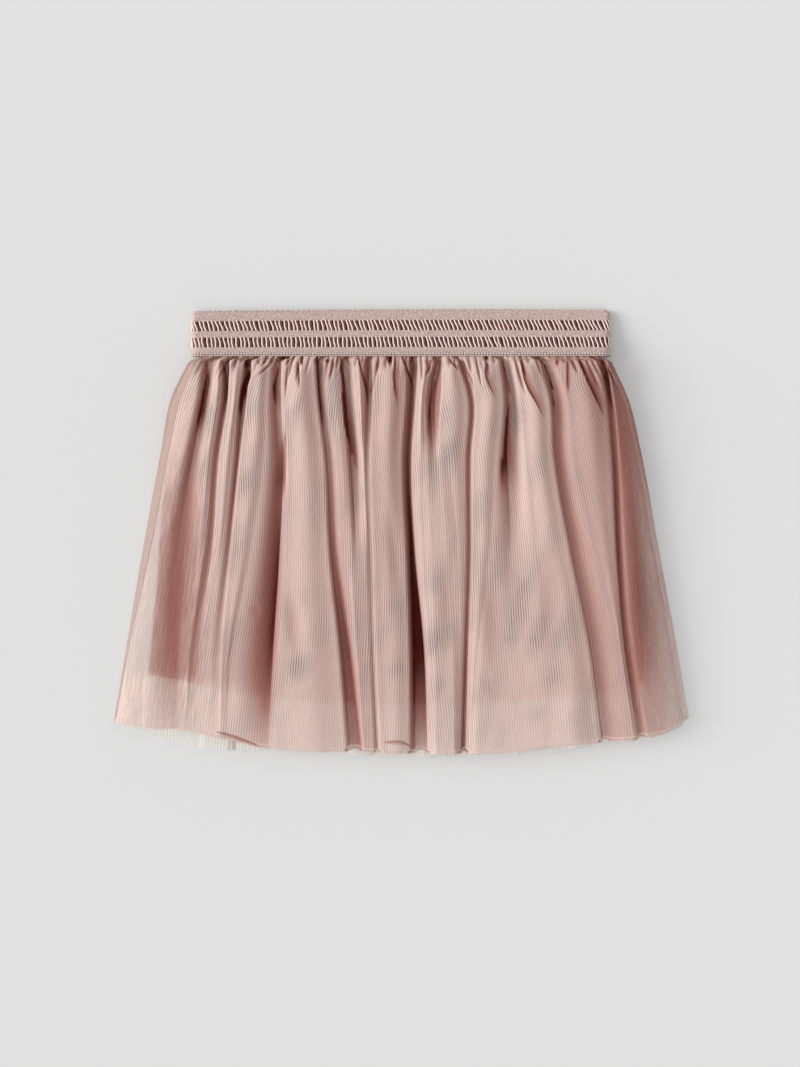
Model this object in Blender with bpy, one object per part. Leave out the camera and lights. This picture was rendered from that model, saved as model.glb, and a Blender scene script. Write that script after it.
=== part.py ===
"""A child's gathered tulle skirt, laid flat on its back. +X is the wearer's left, +Y runs up to
the waistband and +Z up from the floor. The origin is the middle of the skirt's footprint.
Sizes below are in millimetres."""

import math

import bpy
import numpy as np

MM = 0.001

# Walls and clearances.
CLOTH = 1.0  # wall of a cloth panel
ELASTIC = 1.2  # wall of the waistband
GAP = 0.3  # clearance between pieces
LIE = CLOTH + GAP  # one panel lying on another, middle to middle
RIPPLED = 1.85  # the same where both panels ripple
SEAM = 1.0  # how far apart two panels' edges are set, so that their walls clear by about GAP

# The waistband, a flattened ring of elastic.
BAND_FOOT = 105.6
BAND_TOP = 134.4
BAND_TOP_AT = 41.0  # where along x the wavy top edge is highest
BAND_SAG = 1.2  # how far the top edge drops towards the ends
BAND_HALF = 126.0
BAND_CORNER = 0.9  # how far the ends draw in at the top edge
CORNER_FROM = 0.9  # where that begins, as a share of the band's height
BAND_ROWS = (0.0, 0.16, 0.3, 0.5, 0.75, 0.94, 1.0)  # from its foot to its top edge
BAND_THICK = (10.5, 10.5, 9.0, 7.0, 5.2, 4.2, 4.0)  # over the stacked panels, then closing
BAND_ACROSS = 9  # points along each flat side
BAND_ROUND = 4  # steps round each end
TUCK = 3.9  # how far the panels reach up inside the band
TUCK_IN = 7.5  # how much narrower they are there, on each side

# Levels down the skirt, as fractions of the way from the waistband to the hem.
LEVELS = (0.0, 0.10, 0.25, 0.50, 0.75, 1.0)

# Outlines and heights at those levels.
OUTLINE_LEFT = (-126.6, -138.3, -145.2, -155.4, -164.4, -173.4)
OUTLINE_RIGHT = (125.4, 136.2, 144.6, 154.8, 164.7, 173.4)
SIDE_SEAM = (-121.2, -131.4, -139.2, -149.7, -162.0, -172.0)
LINING_LEFT = (-116.4, -124.2, -131.8, -142.2, -147.6, -151.8)
LINING_RIGHT = (115.2, 122.8, 130.4, 139.0, 143.4, 145.2)
CREST = (8.5, 15.0, 18.0, 19.0, 17.5, 14.5)  # top of the folds, middle of the wall

# Hem lines, as x and y of points that a smooth curve joins.
FRONT_HEM = {
    "x": (-173.4, -154, -127, -110, -85, -60, -32, 7, 41, 70, 101, 121, 143, 163, 173.4),
    "y": (-113.4, -116.4, -118.2, -122.4, -126.6, -128.4, -129, -130.2, -130.2, -129)
    + (-125.4, -123.6, -121.8, -116.4, -111),
}
BACK_HEM = {
    "x": (-173.4, -161, -145, -124, -100, -67, -43, -18.6, 23.4, 53, 91, 113, 142, 163, 173.4),
    "y": (-114, -117.6, -123.6, -128.4, -130.8, -130.8, -132, -134, -134, -132.6)
    + (-132.6, -127.2, -123.6, -117, -111),
}
LINING_HEM = {
    "x": (-152, -126, -85, -31, 11, 71, 125, 145.2),
    "y": (-85.5, -90.6, -98.4, -102, -102.6, -100.8, -94.8, -90),
}

# The valleys between the folds, from left to right, each one traced down the skirt. centre, gap
# (the opening seen from above) and depth (a share of the room over the under layer) are given
# at LEVELS. left and right are the widths of the slopes on either side, at the top and at the
# hem, and lean says how far each slope bulges over the valley.
VALLEYS = (
    {
        "centre": (-115.2, -117.6, -123.9, -132.6, -136.8, -137.4),
        "gap": (1.6, 1.6, 1.6, 3.0, 6.0, 6.0),
        "depth": (0.6, 0.9, 0.8, 0.7, 0.6, 0.3),
        "left": (5, 10),
        "right": (5, 12),
        "lean": (0.4, 0.2),
    },
    {
        "centre": (-103.8, -104.4, -109.2, -113.4, -121.8, -126.0),
        "gap": (1.6, 1.6, 1.6, 1.6, 5.0, 6.0),
        "depth": (0.7, 1.0, 0.9, 0.8, 0.5, 0.2),
        "left": (5, 10),
        "right": (4, 7),
        "lean": (0.3, 0.45),
    },
    {
        "centre": (-90.6, -93.6, -97.2, -102.8, -108.6, -110.4),
        "gap": (2.5, 2.5, 1.6, 1.6, 2.0, 3.0),
        "depth": (0.9, 1.0, 1.0, 0.9, 0.6, 0.4),
        "left": (4, 6),
        "right": (5, 9),
        "lean": (0.4, 0.45),
    },
    {
        "centre": (-72.6, -73.2, -71.4, -73.2, -77.4, -82.0),
        "gap": (2.0, 3.0, 2.0, 2.0, 5.0, 8.0),
        "depth": (0.8, 1.0, 0.9, 0.6, 0.5, 0.3),
        "left": (7, 20),
        "right": (4, 8),
        "lean": (0.2, 0.5),
    },
    {
        "centre": (-49.8, -48.3, -44.1, -41.1, -33.6, -27.6),
        "gap": (1.6, 1.6, 1.6, 1.6, 5.5, 7.5),
        "depth": (0.7, 0.9, 0.9, 0.9, 0.9, 0.8),
        "left": (5, 6),
        "right": (4, 8),
        "lean": (0.45, 0.3),
    },
    {
        "centre": (-34.5, -32.4, -29.1, -26.0, -24.0, -20.4),
        "gap": (1.6, 2.6, 4.5, 2.5, 1.6, 1.6),
        "depth": (0.7, 1.0, 1.0, 0.2, 0.0, 0.0),
        "left": (4, 4),
        "right": (4, 4),
        "lean": (0.4, 0.4),
    },
    {
        "centre": (-18.6, -18.3, -19.5, -18.0, -16.5, -13.8),
        "gap": (2.0, 2.2, 1.6, 1.6, 1.6, 1.6),
        "depth": (0.7, 0.9, 0.5, 0.6, 0.7, 0.7),
        "left": (4, 5),
        "right": (4, 6),
        "lean": (0.3, 0.45),
    },
    {
        "centre": (9.0, 7.8, 5.4, 7.5, 11.1, 12.3),
        "gap": (2.4, 1.6, 1.6, 1.6, 6.0, 7.5),
        "depth": (0.7, 0.9, 0.9, 1.0, 1.0, 1.0),
        "left": (5, 6),
        "right": (5, 6),
        "lean": (0.4, 0.5),
    },
    {
        "centre": (23.4, 19.2, 20.4, 23.4, 26.4, 27.0),
        "gap": (1.8, 2.2, 2.0, 1.6, 1.6, 1.6),
        "depth": (0.7, 1.0, 0.6, 0.0, 0.0, 0.0),
        "left": (4, 4),
        "right": (4, 4),
        "lean": (0.3, 0.3),
    },
    {
        "centre": (35.4, 42.6, 41.4, 41.4, 39.6, 37.8),
        "gap": (1.6, 1.6, 1.6, 1.6, 1.8, 2.2),
        "depth": (0.7, 0.9, 0.9, 0.9, 0.9, 0.9),
        "left": (5, 6),
        "right": (5, 6),
        "lean": (0.5, 0.4),
    },
    {
        "centre": (61.2, 65.1, 65.4, 67.0, 66.6, 65.4),
        "gap": (1.6, 2.0, 6.5, 6.0, 4.0, 3.0),
        "depth": (0.7, 0.9, 0.9, 0.5, 0.3, 0.2),
        "left": (5, 16),
        "right": (5, 16),
        "lean": (0.4, 0.1),
    },
    {
        "centre": (83.4, 90.6, 93.0, 102.6, 114.0, 121.8),
        "gap": (1.6, 1.6, 1.6, 1.6, 2.5, 3.0),
        "depth": (0.7, 0.9, 0.9, 0.9, 0.9, 0.9),
        "left": (5, 6),
        "right": (8, 9),
        "lean": (0.5, 0.2),
    },
    {
        "centre": (119.4, 124.2, 127.5, 130.2, 134.7, 143.4),
        "gap": (1.6, 1.6, 1.6, 1.6, 2.0, 2.5),
        "depth": (0.5, 0.8, 0.9, 0.9, 0.9, 0.9),
        "left": (4, 6),
        "right": (6, 8),
        "lean": (0.5, 0.2),
    },
)
SLOPE_STEPS = (1.0, 0.62, 0.28, 0.0)  # where a slope has its columns, from crest to floor
UNDER_STEPS = (1.0, 0.0)  # the same on the under layer
LEFT_STEPS = (0.0, 0.2, 0.55)  # and on the way to the first valley from the left edge
RIGHT_STEPS = (0.5, 0.8, 0.95, 1.0)  # and past the last valley, on the way to the right edge
SLOPE_SHARE = 0.85  # the most that slopes take of the room between two valleys
LEAN_ROOM = 7.0  # the relief at which slopes lean fully
LEAN_DEPTH = 0.4  # and the depth
UNDER_SHARE = 0.2  # how much of the outer folds' relief the under layer follows

# Heights of the layers, middle of the wall, from the bottom one up.
IN_BAND = {  # stacked inside the waistband
    "outer_back": 2.0,
    "under_back": 3.3,
    "lining_back": 4.6,
    "lining_front": 5.9,
    "under_front": 7.2,
    "outer_front": 8.5,
}
OUTER_BACK = 0.5
UNDER_BACK = OUTER_BACK + RIPPLED
PLEAT = 1.1  # height of the back panels' pressed pleats
PLEATS = 8
PLEAT_SHARE = 0.45  # the share of each pleat's repeat that stands up
PLEATS_IN = 0.03  # where the first one starts, as a share of the skirt's width
LINING_BACK = UNDER_BACK + PLEAT + LIE
LINING_FRONT = LINING_BACK + LIE
BELLY = 0.6  # how much the front lining stands off the back one
EASE = 0.2  # extra room where a folded panel lies on a plain one
FOLD_EASE = 0.7  # and where the deep folds lie on the under layer
UNDER_FRONT = LINING_FRONT + BELLY + LIE + EASE
FOLD_FLOOR = UNDER_FRONT + LIE + FOLD_EASE  # lowest height of the outer folds' valleys
UNDER_LONGER = 1.2  # how much lower the under layer's front hem hangs
WRAP = 2.2  # radius of the fold at the skirt's sides
WRAP_STEPS = 3
HIDDEN_EDGE = 5.5  # how far the right-hand side seam lies under the skirt
INSET = 4.0  # the under layer's edge, in from the outline
SHOULDER = 24.0  # how wide the folded tulle rounds down to the sides
UNDER_SHOULDER = 8.0
SHOULDER_IN_BAND = 2.5

# Rows down each panel; below zero is inside the waistband.
TUCKED = -0.016
MOUTH = 0.004
OUTER_ROWS = (TUCKED, MOUTH, 0.025, 0.06, 0.12, 0.22, 0.36, 0.52, 0.68, 0.84, 1.0)
UNDER_ROWS = (TUCKED, MOUTH, 0.025, 0.06, 0.22, 0.52, 1.0)
LINING_ROWS = (TUCKED, MOUTH, 0.03, 0.07, 0.25, 0.6, 1.0)
LINING_COLUMNS = 13
FULL_WIDTH = 0.012  # where the panels have reached the outline's full width
LEAVE_BAND = 0.07  # where the layers have come down from the stack in the band

SHARP_ANGLE = 50  # degrees between faces, past which an edge is sharp

# Colours, roughness and metallic value of each material.
TULLE_OUTER = ((0.61, 0.45, 0.40), 0.75, 0.0)
TULLE_UNDER = ((0.58, 0.42, 0.37), 0.75, 0.0)
LINING_SATIN = ((0.38, 0.21, 0.18), 0.45, 0.0)
BAND_WEAVE = ((0.51, 0.38, 0.34), 0.8, 0.0)


def clear_scene():
    for old in list(bpy.data.objects):
        bpy.data.objects.remove(old, do_unlink=True)


def smooth(t):
    t = np.clip(t, 0.0, 1.0)
    return t * t * (3 - 2 * t)


def through(places, values, at):
    """A smooth curve through values at places, read at at."""
    places = np.asarray(places, float)
    values = np.asarray(values, float)
    at = np.clip(np.asarray(at, float), places[0], places[-1])
    slopes = np.gradient(values, places)
    i = np.clip(np.searchsorted(places, at) - 1, 0, len(places) - 2)
    step = places[i + 1] - places[i]
    t = (at - places[i]) / step
    start = (1 + 2 * t) * (1 - t) ** 2 * values[i] + t * (1 - t) ** 2 * step * slopes[i]
    end = t * t * (3 - 2 * t) * values[i + 1] - t * t * (1 - t) * step * slopes[i + 1]
    return start + end


def level(values, down):
    """A value given at LEVELS, read down of the way to the hem."""
    return float(through(LEVELS, values, down))


def top_to_hem(pair, down):
    return pair[0] + (pair[1] - pair[0]) * smooth(down)


def leaving(down):
    """From 0 inside the waistband to 1 where the layers lie freely."""
    return float(smooth((down - MOUTH) / (LEAVE_BAND - MOUTH)))


def narrowed(edge, down):
    """An outline's x, drawn in where the panel is tucked into the waistband."""
    drawn_in = TUCK_IN * (1 - float(smooth(down / FULL_WIDTH)))
    return edge - math.copysign(drawn_in, edge)


def height(layer, lying, down):
    """A layer's height: stacked inside the band, lying below it."""
    share = leaving(down)
    return IN_BAND[layer] * (1 - share) + lying * share


def place_y(x, hem, down):
    """The y of a point down of the way from the waistband to the hem line."""
    foot = through(hem["x"], hem["y"], x)
    return BAND_FOOT + TUCK * min(down, 0) / TUCKED + (foot - BAND_FOOT) * max(down, 0)


def shoulder(distance, width):
    """A quarter ellipse, from 0 at the edge to 1 at width from it."""
    t = 1 - np.clip(distance / width, 0.0, 1.0)
    return np.sqrt(1 - t * t)


def overhang(lean):
    """How far a leaning slope reaches over its valley, as a share of its width."""
    if lean * math.pi <= 1:
        return 0.0
    angle = math.acos(1 / (lean * math.pi))
    return lean * math.sin(angle) - angle / math.pi


def read_valley(valley, down):
    """One valley's sizes at one row."""
    depth = level(valley["depth"], down)
    lean = [side * min(1.0, depth / LEAN_DEPTH) for side in valley["lean"]]
    left = top_to_hem(valley["left"], down)
    right = top_to_hem(valley["right"], down)
    gap = level(valley["gap"], down)
    side = level(OUTLINE_LEFT, down)
    return {
        "centre": level(valley["centre"], down) * narrowed(side, down) / side,
        "depth": max(depth, 0.0),
        "lean": lean,
        "slope": [left, right],
        "floor": [gap / 2 + overhang(lean[0]) * left, gap / 2 + overhang(lean[1]) * right],
    }


def fitted_valleys(down, first, last):
    """The valleys at one row, with slopes narrowed where two of them would meet."""
    found = [read_valley(valley, down) for valley in VALLEYS]
    for i, here in enumerate(found):
        ahead = found[i + 1] if i + 1 < len(found) else None
        room = (ahead["centre"] - ahead["floor"][0] if ahead else last) - here["centre"]
        room -= here["floor"][1]
        wanted = here["slope"][1] + (ahead["slope"][0] if ahead else 0)
        share = min(1.0, SLOPE_SHARE * room / wanted)
        here["slope"][1] *= share
        if ahead:
            ahead["slope"][0] *= share
    left_room = found[0]["centre"] - found[0]["floor"][0] - first
    found[0]["slope"][0] = min(found[0]["slope"][0], SLOPE_SHARE * left_room)
    return found


def folded_row(down, steps, start, left, right, crest, floor, foot, width):
    """x and z across one row of a folded front panel, from start to its right-hand edge."""
    valleys = fitted_valleys(down, start, right)
    first = valleys[0]["centre"] - valleys[0]["floor"][0] - valleys[0]["slope"][0]
    across = [start + (first - start) * share for share in LEFT_STEPS]
    drop = [0.0] * len(LEFT_STEPS)
    shift = [0.0] * len(LEFT_STEPS)
    for valley in valleys:
        for side, way in ((0, -1), (1, 1)):
            for q in steps if side == 0 else steps[::-1]:
                slope = valley["slope"][side]
                across.append(valley["centre"] + way * (valley["floor"][side] + slope * q))
                drop.append(valley["depth"] * (1 + math.cos(math.pi * q)) / 2)
                bulge = valley["lean"][side] * slope * math.sin(math.pi * q)
                shift.append(-way * bulge)
    last = across[-1]
    across = np.array(across + [last + (right - last) * share for share in RIGHT_STEPS])
    rise = np.minimum(shoulder(across - left, width), shoulder(right - across, width))
    top = foot + (crest - foot) * rise
    flat = [0.0] * len(RIGHT_STEPS)
    room = np.maximum(top - floor, 0.0)
    leaning = np.minimum(room / LEAN_ROOM, 1.0) * np.array(shift + flat)
    return across + leaning, top - room * np.array(drop + flat)


def quarter(x, z, way):
    """A quarter turn from the side at x, z down to the floor, and in along it."""
    turn = [math.pi / 2 * i / WRAP_STEPS for i in range(1, WRAP_STEPS + 1)]
    points = [(x + way * WRAP * (1 - math.cos(a)), z - WRAP * math.sin(a)) for a in turn]
    return points + [(x + way * HIDDEN_EDGE, z - WRAP)]


def side_height(down):
    """The height of the outer tulle where it turns round the skirt's side."""
    return height("outer_back", OUTER_BACK, down) + WRAP


def outer_front():
    """The outer tulle's front, from the left-hand seam over the folds and round the right."""
    rows = []
    for down in OUTER_ROWS:
        left = narrowed(level(OUTLINE_LEFT, down), down)
        right = narrowed(level(OUTLINE_RIGHT, down), down)
        seam = narrowed(level(SIDE_SEAM, down), down)
        width = SHOULDER_IN_BAND + (SHOULDER - SHOULDER_IN_BAND) * leaving(down)
        crest = height("outer_front", level(CREST, down), down)
        floor = height("outer_front", FOLD_FLOOR, down)
        foot = side_height(down)
        x, z = folded_row(down, SLOPE_STEPS, seam, left, right, crest, floor, foot, width)
        turned = np.array(quarter(right, foot, -1))
        x = np.concatenate([x, turned[:, 0]])
        z = np.concatenate([z, turned[:, 1]])
        rows.append(np.stack([x, place_y(x, FRONT_HEM, down), z], axis=1))
    return np.array(rows)


def under_front():
    """The second tulle layer's front, following the outer folds with less relief."""
    rows = []
    for down in UNDER_ROWS:
        left = narrowed(level(OUTLINE_LEFT, down), down) + INSET
        right = narrowed(level(OUTLINE_RIGHT, down), down) - INSET
        width = SHOULDER_IN_BAND + (UNDER_SHOULDER - SHOULDER_IN_BAND) * leaving(down)
        floor = height("under_front", UNDER_FRONT, down)
        relief = UNDER_SHARE * (level(CREST, down) - FOLD_FLOOR)
        crest = height("under_front", UNDER_FRONT + relief, down)
        foot = height("lining_back", UNDER_BACK + PLEAT + LIE, down)
        x, z = folded_row(down, UNDER_STEPS, left, left, right, crest, floor, foot, width)
        y = place_y(x, FRONT_HEM, down) - UNDER_LONGER * max(down, 0)
        rows.append(np.stack([x, y, z], axis=1))
    return np.array(rows)


def pleats():
    """Columns across the back panels, as shares of the skirt's width, and how far each lifts."""
    span = (1 - 2 * PLEATS_IN) / PLEATS
    places, lifts = [0.0], [0.0]
    for i in range(PLEATS):
        for step, lift in ((0.0, 0.0), (PLEAT_SHARE / 2, 1.0), (PLEAT_SHARE, 0.0)):
            places.append(PLEATS_IN + span * (i + step))
            lifts.append(lift)
    return np.array(places + [1.0]), np.array(lifts + [0.0])


def back_panel(layer, lying, downs, left_in, right_in):
    """A pleated back panel, its edges set in from the skirt's outline, as rows of points."""
    places, lifts = pleats()
    rows = []
    for down in downs:
        left = narrowed(level(OUTLINE_LEFT, down), down)
        right = narrowed(level(OUTLINE_RIGHT, down), down)
        x = np.clip(left + (right - left) * places, left + left_in, right - right_in)
        z = height(layer, lying, down) + PLEAT * leaving(down) * lifts
        rows.append(np.stack([x, place_y(x, BACK_HEM, down), z], axis=1))
    return np.array(rows)


def outer_back():
    """The outer tulle's back: flat on the floor, then round the left side up to the seam."""
    flat = back_panel("outer_back", OUTER_BACK, OUTER_ROWS, HIDDEN_EDGE, HIDDEN_EDGE + SEAM)
    rows = []
    for down, row in zip(OUTER_ROWS, flat):
        left = narrowed(level(OUTLINE_LEFT, down), down)
        seam = narrowed(level(SIDE_SEAM, down), down) - SEAM
        foot = side_height(down)
        width = SHOULDER_IN_BAND + (SHOULDER - SHOULDER_IN_BAND) * leaving(down)
        crest = height("outer_front", level(CREST, down), down)
        x = np.array([seam, (seam + left) / 2, left])
        z = foot + (crest - foot) * shoulder(x - left, width)
        turned = np.array(quarter(left, foot, 1))[:-1]
        x = np.concatenate([x, turned[:, 0]])
        z = np.concatenate([z, turned[:, 1]])
        side = np.stack([x, place_y(x, BACK_HEM, down), z], axis=1)
        rows.append(np.concatenate([side, row]))
    return np.array(rows)


def under_back():
    """The second tulle layer's back, lying on the outer one."""
    return back_panel("under_back", UNDER_BACK, UNDER_ROWS, INSET, INSET)


def lining(layer, lying, belly):
    """A lining panel, plain but for a slight belly."""
    share = np.linspace(0.0, 1.0, LINING_COLUMNS)
    rows = []
    for down in LINING_ROWS:
        left = narrowed(level(LINING_LEFT, down), down)
        right = narrowed(level(LINING_RIGHT, down), down)
        x = left + (right - left) * share
        swell = belly * leaving(down) * np.sqrt(np.abs(np.sin(math.pi * share)))
        z = height(layer, lying, down) + swell
        rows.append(np.stack([x, place_y(x, LINING_HEM, down), z], axis=1))
    return np.array(rows)


def unit(vectors):
    return vectors / np.maximum(np.linalg.norm(vectors, axis=-1, keepdims=True), 1e-9)


def bisectors(grid, axis):
    """The direction of a grid's lines at each point, along one axis."""
    steps = unit(np.diff(grid, axis=axis))
    first = np.take(steps, [0], axis=axis)
    last = np.take(steps, [-1], axis=axis)
    return unit(np.concatenate([first, steps], axis=axis) + np.concatenate([steps, last], axis=axis))


def add_object(name, vertices, faces, finish):
    mesh = bpy.data.meshes.new(name)
    mesh.from_pydata([tuple(point) for point in vertices * MM], [], faces)
    mesh.validate()
    mesh.shade_smooth()
    mesh.set_sharp_from_angle(angle=math.radians(SHARP_ANGLE))
    made = bpy.data.objects.new(name, mesh)
    bpy.context.scene.collection.objects.link(made)
    colour, roughness, metallic = finish
    material = bpy.data.materials.new(name)
    material.use_nodes = True
    shader = material.node_tree.nodes["Principled BSDF"]
    shader.inputs["Base Color"].default_value = (*colour, 1.0)
    shader.inputs["Roughness"].default_value = roughness
    shader.inputs["Metallic"].default_value = metallic
    mesh.materials.append(material)


def add_wall(name, grid, finish):
    """A panel's closed wall, half its thickness to each side of a grid of points."""
    normal = unit(np.cross(bisectors(grid, 0), bisectors(grid, 1)))
    upper = grid + normal * CLOTH / 2
    lower = grid - normal * CLOTH / 2
    rows, columns = grid.shape[:2]
    vertices = np.concatenate([upper.reshape(-1, 3), lower.reshape(-1, 3)])
    vertices[:, 2] = np.maximum(vertices[:, 2], 0.0)
    index = np.arange(rows * columns).reshape(rows, columns)
    below = index + rows * columns
    faces = []
    for i in range(rows - 1):
        for j in range(columns - 1):
            a, b, c, d = index[i, j], index[i + 1, j], index[i + 1, j + 1], index[i, j + 1]
            faces.append((a, b, c, d))
            faces.append(tuple(below.flat[k] for k in (d, c, b, a)))
    rim = list(index[0, :-1]) + list(index[:-1, -1]) + list(index[-1, :0:-1]) + list(index[:0:-1, 0])
    for here, ahead in zip(rim, rim[1:] + rim[:1]):
        faces.append((here, ahead, below.flat[ahead], below.flat[here]))
    add_object(name, vertices, faces, finish)


def band_outline(half, thickness, inset):
    """The flattened ring's cross-section: two flat sides and two round ends."""
    radius = thickness / 2 - inset
    reach = half - thickness / 2
    flat = np.linspace(-reach, reach, BAND_ACROSS)
    points = [(x, inset) for x in flat]
    for i in range(1, BAND_ROUND):
        angle = math.pi * i / BAND_ROUND
        points.append((reach + radius * math.sin(angle), thickness / 2 - radius * math.cos(angle)))
    points += [(x, thickness - inset) for x in flat[::-1]]
    for i in range(1, BAND_ROUND):
        angle = math.pi * i / BAND_ROUND
        points.append((-reach - radius * math.sin(angle), thickness / 2 + radius * math.cos(angle)))
    return np.array(points)


def waistband():
    """The elastic ring: outer and inner skins, joined at its foot and its top edge."""
    rings = []
    for inset in (0.0, ELASTIC):
        for share, thickness in zip(BAND_ROWS, BAND_THICK):
            turned = float(smooth((share - CORNER_FROM) / (1 - CORNER_FROM)))
            half = BAND_HALF - BAND_CORNER * turned
            section = band_outline(half, thickness, inset)
            x = section[:, 0]
            top = BAND_TOP - BAND_SAG * ((x - BAND_TOP_AT) / (BAND_HALF + BAND_TOP_AT)) ** 2
            y = BAND_FOOT + (top - BAND_FOOT) * share
            rings.append(np.stack([x, y, section[:, 1]], axis=1))
    rings = np.array(rings)
    count = rings.shape[1]
    rows = len(BAND_ROWS)
    index = np.arange(2 * rows * count).reshape(2, rows, count)
    faces = []
    for j in range(count):
        k = (j + 1) % count
        for i in range(rows - 1):
            faces.append((index[0, i, k], index[0, i, j], index[0, i + 1, j], index[0, i + 1, k]))
            faces.append((index[1, i, j], index[1, i, k], index[1, i + 1, k], index[1, i + 1, j]))
        faces.append((index[1, 0, k], index[1, 0, j], index[0, 0, j], index[0, 0, k]))
        faces.append((index[0, -1, k], index[0, -1, j], index[1, -1, j], index[1, -1, k]))
    add_object("waistband_elastic", rings.reshape(-1, 3), faces, BAND_WEAVE)


def build():
    clear_scene()
    add_wall("tulle_outer_back", outer_back(), TULLE_OUTER)
    add_wall("tulle_under_back", under_back(), TULLE_UNDER)
    add_wall("lining_back", lining("lining_back", LINING_BACK, 0.0), LINING_SATIN)
    add_wall("lining_front", lining("lining_front", LINING_FRONT, BELLY), LINING_SATIN)
    add_wall("tulle_under_front", under_front(), TULLE_UNDER)
    add_wall("tulle_outer_front", outer_front(), TULLE_OUTER)
    waistband()


build()
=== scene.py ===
import math
import random

import bpy
import numpy as np
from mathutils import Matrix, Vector


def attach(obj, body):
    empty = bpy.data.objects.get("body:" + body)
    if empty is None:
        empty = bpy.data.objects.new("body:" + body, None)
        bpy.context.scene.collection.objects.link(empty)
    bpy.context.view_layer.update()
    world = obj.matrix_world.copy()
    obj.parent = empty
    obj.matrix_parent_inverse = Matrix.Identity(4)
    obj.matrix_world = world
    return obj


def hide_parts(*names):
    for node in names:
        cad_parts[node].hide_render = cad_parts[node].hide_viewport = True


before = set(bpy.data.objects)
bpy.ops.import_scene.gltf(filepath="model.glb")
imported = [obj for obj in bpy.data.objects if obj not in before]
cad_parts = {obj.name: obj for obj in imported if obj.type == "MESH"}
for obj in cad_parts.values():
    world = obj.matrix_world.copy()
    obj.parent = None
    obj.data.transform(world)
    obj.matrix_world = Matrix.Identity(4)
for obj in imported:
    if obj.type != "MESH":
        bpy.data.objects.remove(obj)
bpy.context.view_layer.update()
mm = 0.001  # every size below is in millimetres


def table(columns, *rows):  # rows of values under named columns
    return [dict(zip(columns.split(), row)) for row in rows]


# the skirt's outline, from the waistband's foot (0) to the hem (1)
skirt = {
    "levels": (0.0, 0.10, 0.25, 0.50, 0.75, 1.0),
    "left": (-126.6, -138.3, -145.2, -155.4, -164.4, -173.4),
    "right": (125.4, 136.2, 144.6, 154.8, 164.7, 173.4),
    "seam": (-121.2, -131.4, -139.2, -149.7, -162.0, -172.0),  # the side seam that shows
    "bandFoot": 105.6,
    "hemAt": -128.0,  # about where the hem lies, used to place the hollows and patches
    "clothLength": 236.0,
    "tuck": 3.9,  # how far the cloth reaches up inside the band
    "tuckDown": -0.016,  # and that as a share of the way down
    "tuckIn": 6.0,  # how much narrower it is there
    "fullFrom": 0.012,  # how far down it has its full width again
    "wrap": 2.2,  # radius of the fold at the sides
    "hiddenEdge": 5.5,  # how far the right-hand seam lies underneath
    "shoulder": 26.0,  # how wide the folds round down to the sides
}

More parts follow.
